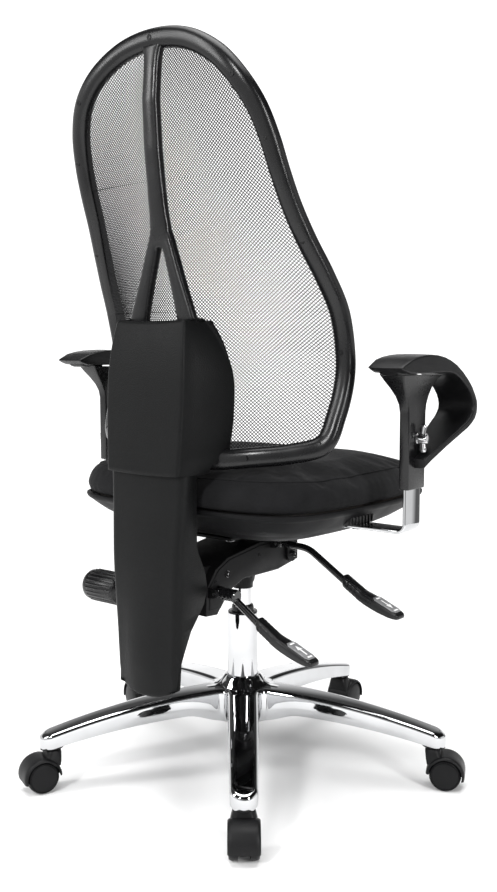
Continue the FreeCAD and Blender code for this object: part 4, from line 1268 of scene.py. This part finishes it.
def columnRing(z, inset, height=None):
    front, rear = alongTable(columnLevels, z)
    share = (min(z, 512.0) - column["low"]) / (512.0 - column["low"])
    half = mix(column["halfLow"], column["halfTop"], share) - inset
    if z > 512:
        half -= 6.0 * (z - 512) / 88.0
    near = front + inset
    far = rear - inset
    deep = far - near
    corner = min(13.0, deep * 0.6)
    bulge = mix(10.0, 3.0, ease(z, 230, 400))
    points = [(-half, near + 2), (-half + 2, near), (half - 2, near), (half, near + 2)]
    for i in range(9):
        turn = math.pi / 2 * i / 8
        points.append((half - corner + corner * math.cos(turn),
                       far - bulge - corner + corner * math.sin(turn)))
    for share in (0.6, 0.3, 0.0, -0.3, -0.6):
        points.append(((half - corner) * share, far - bulge * share * share))
    for i in range(9):
        turn = math.pi / 2 * (1 + i / 8)
        points.append((-half + corner + corner * math.cos(turn),
                       far - bulge - corner + corner * math.sin(turn)))
    level = z if height is None else height
    cornerRise = 13.0 * (1 - ease(z, 178, 215))
    return [(x, y, level + cornerRise * abs(x / half) ** 3) for x, y in points]


def makeColumn():
    rings = [columnRing(178.0, 7.0, 176.6), columnRing(178.0, 3.5, 177.0), columnRing(179.0, 1.2, 178.6),
             columnRing(182.0, 0.2)]
    z = 188.0
    while z < 597.0:
        rings.append(columnRing(z, 0.0))
        z += 9.0
    rings.append(columnRing(597.0, 0.6))
    rings.append(columnRing(600.0, 3.0))
    makePiece("columnCover", loft(rings), "back_column", "grained_plastic",
              ["column_cover_rear", "column_cover_front"], sharp=50)


makeColumn()
print("column made")

# ---- backrest

back = {"low": 526.0, "top": 1131.0, "half": 229.0, "tubeAcross": 15.0, "tubeDeep": 12.2, "netThick": 0.9,
        "netPitch": 3.6, "netOpen": 0.74, "netRoom": 5.0, "spineDeep": 9.0, "coverLow": 512.0,
        "coverTop": 736.0, "coverHalf": 101.0, "coverRear": 236.0, "coverWall": 3.0, "lean": 3.0,
        "screwRadius": 4.2}


def frameHalf():
    low = back["low"]
    w = back["half"]
    top = back["top"]
    return [(0.30 * w, 157, low + 2), (0.56 * w, 137, low + 8), (0.79 * w, 106, low + 15),
            (0.945 * w, 80, low + 29), (0.985 * w, 62, low + 70), (w, 48, low + 116), (w, 46, low + 160),
            (0.995 * w, 60, low + 218), (0.955 * w, 84, low + 268), (0.9 * w, 109, low + 315),
            (0.856 * w, 131, low + 361), (0.83 * w, 151, low + 407), (0.805 * w, 167, low + 451),
            (0.755 * w, 182, low + 494), (0.655 * w, 195, low + 534), (0.5 * w, 199, low + 569),
            (0.27 * w, 198, top - 9)]


def frameLine(steps):
    half = frameHalf()
    foot = [(0.0, 163.0, back["low"])]
    head = [(0.0, 197.0, back["top"])]
    return smoothLine(foot + half + head + [(-x, y, z) for x, y, z in reversed(half)], steps, closed=True)


def frameSide(z):
    return alongTable([(p[2], p[0], p[1]) for p in frameHalf()[3:]], z)


spineLine = [(500.0, 166.0), (560.0, 168.0), (650.0, 176.0), (736.0, 184.0), (851.0, 186.0),
             (906.0, 194.0),
             (976.0, 202.0), (1045.0, 206.0), (1131.0, 199.0)]


def spineY(z):
    return alongTable(spineLine, z)[0]


def netY(x, z):
    side, edge = frameSide(z)
    middle = spineY(z) - back["spineDeep"] - back["netRoom"]
    return mix(middle, edge, min(1.0, abs(x) / side) ** 1.8)


def makeFrame():
    line = frameLine(8)
    across = back["tubeAcross"]
    deep = back["tubeDeep"]
    ring = []
    for i in range(28):
        turn = 2 * math.pi * i / 28
        c = math.cos(turn)
        s = math.sin(turn)
        ring.append((across * math.copysign(abs(c) ** 0.86, c), deep * math.copysign(abs(s) ** 0.86, s)))
    makePiece("backFrame", sweep(line, lambda share: ring, (0, 1, 0), closed=True), "backrest",
              "black_plastic", ["back_frame"], sharp=180)


def spineRing(x, z, half, deep=None):
    deep = deep or back["spineDeep"]
    y = spineY(z)
    ring = []
    for i in range(24):
        turn = 2 * math.pi * i / 24
        c = math.cos(turn)
        s = math.sin(turn)
        ring.append((x + half * math.copysign(abs(c) ** 0.7, c),
                     y + deep * math.copysign(abs(s) ** 0.7, s), z))
    return ring


def makeSpine():
    levels = [(838.0, 21.0), (870.0, 18.5), (906.0, 16.0), (976.0, 15.0), (1045.0, 14.5), (1090.0, 14.5),
              (1108.0, 16.0), (1122.0, 20.0)]
    levels = smoothLine(levels, 5)
    rib = loft([spineRing(0, z, half) for z, half in levels])
    legs = [(694.0, 57.0, 21.0), (736.0, 47.0, 17.5), (790.0, 30.5, 13.5), (830.0, 18.0, 12.0),
            (866.0, 7.0, 10.0)]
    legs = smoothLine(legs, 6)
    left = loft([spineRing(x, z, half) for z, x, half in legs])
    obj = meshObject("backSpine", joined(rib, left, mirroredShape(left)))
    remesh = obj.modifiers.new("remesh", "REMESH")
    remesh.mode = "VOXEL"
    remesh.voxel_size = 2.2 * mm
    relax = obj.modifiers.new("relax", "SMOOTH")
    relax.factor = 0.5
    relax.iterations = 9
    plainMesh(obj)
    finishPiece(obj, "backrest", "black_plastic", ["back_spine"], sharp=180)


def coverFront(z):
    # half width where the side walls meet the net
    middle = 638.0
    if z > middle:
        return back["coverHalf"] * (1 - 0.38 * ((z - middle) / (back["coverTop"] - middle)) ** 2.0)
    return back["coverHalf"] * (1 - 0.16 * ((middle - z) / (middle - back["coverLow"])) ** 2.4)


def coverBack(z):
    # half width of the flat rear face
    middle = 640.0
    if z > middle:
        return 77.0 - 9.0 * ((z - middle) / 96.0) ** 1.6
    return 77.0 - 5.0 * ((middle - z) / 128.0) ** 2.0


def coverRow(z, inset, height=None, forward=0.0):
    lean = (z - back["coverLow"]) * math.tan(math.radians(back["lean"]))
    high = max(0.0, (z - 640.0) / (back["coverTop"] - 640.0))
    far = back["coverRear"] - lean - 8.0 * high * high - inset
    half = coverBack(z) - inset
    front = coverFront(z) - inset
    corner = 6.0
    edgeY = netY(front, z) + 7.0 if z > 541.0 else mix(181.0, netY(front, 541.0) + 7.0, ease(z, 520, 541))
    bend = far - corner - 1.5
    right = []
    for share in (0.0, 0.2, 0.4, 0.6, 0.8):
        x = mix(front, half, share ** 1.5)
        right.append((x, mix(edgeY, bend, share)))
    for i in range(7):
        turn = math.pi / 2 * i / 6
        right.append((half - corner + corner * math.cos(turn), bend + corner * math.sin(turn)))
    flat = half - corner
    middle = [(flat * share, far - 1.5 * abs(share) ** 2) for share in (0.85, 0.65, 0.43, 0.22, 0.0)]
    points = right + middle
    points = points + [(-x, y) for x, y in reversed(points[:-1])]
    row = []
    for x, y in points:
        nearY = netY(x, min(z, 735.0)) + 7.0
        row.append((x, mix(y, min(nearY, y), forward), z if height is None else height))
    return row


def makeLumbarCover():
    rows = []
    z = back["coverLow"]
    rows.append(coverRow(z, 0.8, z - 0.6))
    while z < back["coverTop"] - 9:
        rows.append(coverRow(z, 0.0))
        z += 6.0
    top = back["coverTop"]
    rows.append(coverRow(top - 6.0, 0.0))
    rows.append(coverRow(top - 2.8, 0.6))
    rows.append(coverRow(top, 2.2, top - 0.9))
    rows.append(coverRow(top, 4.5, top))
    for forward in (0.3, 0.65, 1.0):
        rows.append(coverRow(top, 4.5, top - 1.0 * forward, forward))
    # the lower edge dips in the middle and the upper edge is a little hollow
    shaped = []
    for row in rows:
        line = []
        for x, y, z in row:
            share = 1 - min(1.0, abs(x) / 90.0) ** 2
            dip = -3.0 * share * (1 - ease(z, 512, 545)) - 5.0 * share * ease(z, 690, 736)
            line.append((x, y, z + dip))
        shaped.append(line)
    obj = meshObject("lumbarCover", loft(shaped, False, False, closedRing=False))
    wall = obj.modifiers.new("wall", "SOLIDIFY")
    wall.thickness = back["coverWall"] * mm
    wall.offset = -1.0
    plainMesh(obj)
    finishPiece(obj, "backrest", "grained_plastic", ["lumbar_cover"], sharp=60)


def netTree():
    # opens a hole in every cell, then gives the net its thickness
    tree, start, end = newTree("netTree", [
        ("Opening", "NodeSocketFloat", 0.6), ("Thickness", "NodeSocketFloat", 0.0008),
        ("Material", "NodeSocketMaterial", None)])
    split = addNode(tree, "GeometryNodeExtrudeMesh", {"Offset Scale": 0.0, "Individual": True},
                    {"Mesh": start.outputs["Geometry"]})
    scale = addNode(tree, "GeometryNodeScaleElements", wires={
        "Geometry": split.outputs["Mesh"], "Selection": split.outputs["Top"],
        "Scale": start.outputs["Opening"]})
    opened = addNode(tree, "GeometryNodeDeleteGeometry", wires={
        "Geometry": scale.outputs["Geometry"], "Selection": split.outputs["Top"]}, domain="FACE")
    sheet = opened.outputs["Geometry"]
    thick = addNode(tree, "GeometryNodeExtrudeMesh", {"Individual": False},
                    {"Mesh": sheet, "Offset Scale": start.outputs["Thickness"]})
    flip = addNode(tree, "GeometryNodeFlipFaces", wires={"Mesh": sheet})
    both = addNode(tree, "GeometryNodeJoinGeometry", wires={"Geometry": thick.outputs["Mesh"]})
    tree.links.new(flip.outputs["Mesh"], both.inputs["Geometry"])
    weld = addNode(tree, "GeometryNodeMergeByDistance", {"Distance": 0.00002},
                   {"Geometry": both.outputs["Geometry"]})
    endTree(tree, start, end, weld.outputs["Geometry"])
    return tree


def insideOutline(x, z, outline):
    inside = False
    for (x0, z0), (x1, z1) in zip(outline, outline[1:] + outline[:1]):
        if (z0 > z) != (z1 > z) and x < (x1 - x0) * (z - z0) / (z1 - z0) + x0:
            inside = not inside
    return inside


def makeNet():
    # a lattice of square cells set on their corners, laid on the hollow of the back
    outline = [(x * (1 - 4.0 / max(20.0, math.hypot(x, z - 830))),
                z - 4.0 * (z - 830) / max(20.0, math.hypot(x, z - 830)))
               for x, _, z in frameLine(3)]
    step = back["netPitch"] / math.sqrt(2)
    columns = int(250 / step)
    lowRow = int(520 / step)
    highRow = int(1135 / step)
    cells = {"Low": [], "Middle": [], "High": []}
    for i in range(-columns, columns + 1):
        for j in range(lowRow, highRow):
            if (i + j) % 2:
                continue
            x = i * step
            z = j * step
            if insideOutline(x, z, outline):
                word = "Low" if z < 745 else "Middle" if z < 935 else "High"
                cells[word].append((i, j))
    tree = netTree()
    made = []
    for word, found in cells.items():
        index = {}
        points = []
        faces = []
        for i, j in found:
            face = []
            for a, b in ((i - 1, j), (i, j - 1), (i + 1, j), (i, j + 1)):
                if (a, b) not in index:
                    index[(a, b)] = len(points)
                    points.append((a * step, netY(a * step, b * step) + 0.6, b * step))
                face.append(index[(a, b)])
            faces.append(tuple(face))
        obj = meshObject("backNet" + word, (points, faces))
        runTree(obj, tree, {"Opening": back["netOpen"], "Thickness": back["netThick"] * mm,
                            "Material": finishes["net"]})
        finishPiece(obj, "backrest", "net", ["back_mesh"] if word == "Low" else [], sharp=40)
        print("net", word, len(found), "cells", len(obj.data.polygons), "faces")
        # cut as a strip across the frame, openings counted in its area
        made.append(obj)
    return made


def screwInstance(tree, start):
    # disc head with a six-sided recess, facing backwards
    head = addNode(tree, "GeometryNodeMeshCylinder", {"Vertices": 24, "Depth": 0.0024},
                   {"Radius": start.outputs["Radius"]})
    cup = addNode(tree, "GeometryNodeMeshCylinder", {"Vertices": 6, "Radius": 0.0017, "Depth": 0.0030})
    lower = addNode(tree, "GeometryNodeTransform", {"Translation": (0.0, 0.0, -0.0016)},
                    {"Geometry": cup.outputs["Mesh"]})
    bored = addNode(tree, "GeometryNodeMeshBoolean", wires={
        "Mesh 1": head.outputs["Mesh"], "Mesh 2": lower.outputs["Geometry"]}, operation="DIFFERENCE")
    turn = addNode(tree, "GeometryNodeTransform", {"Rotation": (math.pi / 2, 0.0, 0.0)},
                   {"Geometry": bored.outputs["Mesh"]})
    return turn.outputs["Geometry"]


def makeScrews():
    half = frameHalf()
    places = [half[i] for i in (1, 3, 6, 9, 12, 14)]
    places = places + [(-x, y, z) for x, y, z in places] + [(0.0, 197.0, back["top"])]
    deep = back["tubeDeep"]
    screws = pointsObject("frameScrews", [(x, y + deep - 0.6, z) for x, y, z in places])
    tree = instanceTree("screwTree", screwInstance, [
        ("Radius", "NodeSocketFloat", 0.0035), ("Material", "NodeSocketMaterial", None)])
    runTree(screws, tree, {"Radius": back["screwRadius"] * mm, "Material": finishes["steel"]})
    finishPiece(screws, "backrest", "steel", ["frame_screws"], sharp=30, material=finishes["black_steel"])


makeFrame()
makeSpine()
makeLumbarCover()
makeNet()
makeScrews()
print("backrest made")

# ---- CAD nodes that stay get their finish

slotOf = {part["node"]: part["material_slot"] for part in frame["record"]["subparts"]}
kept = 0
for nodeName, node in frame["nodes"].items():
    if node.hide_render:
        continue
    node.data.materials.clear()
    node.data.materials.append(finishes[slotOf[nodeName]])
    kept += 1
print(kept, "CAD nodes kept")
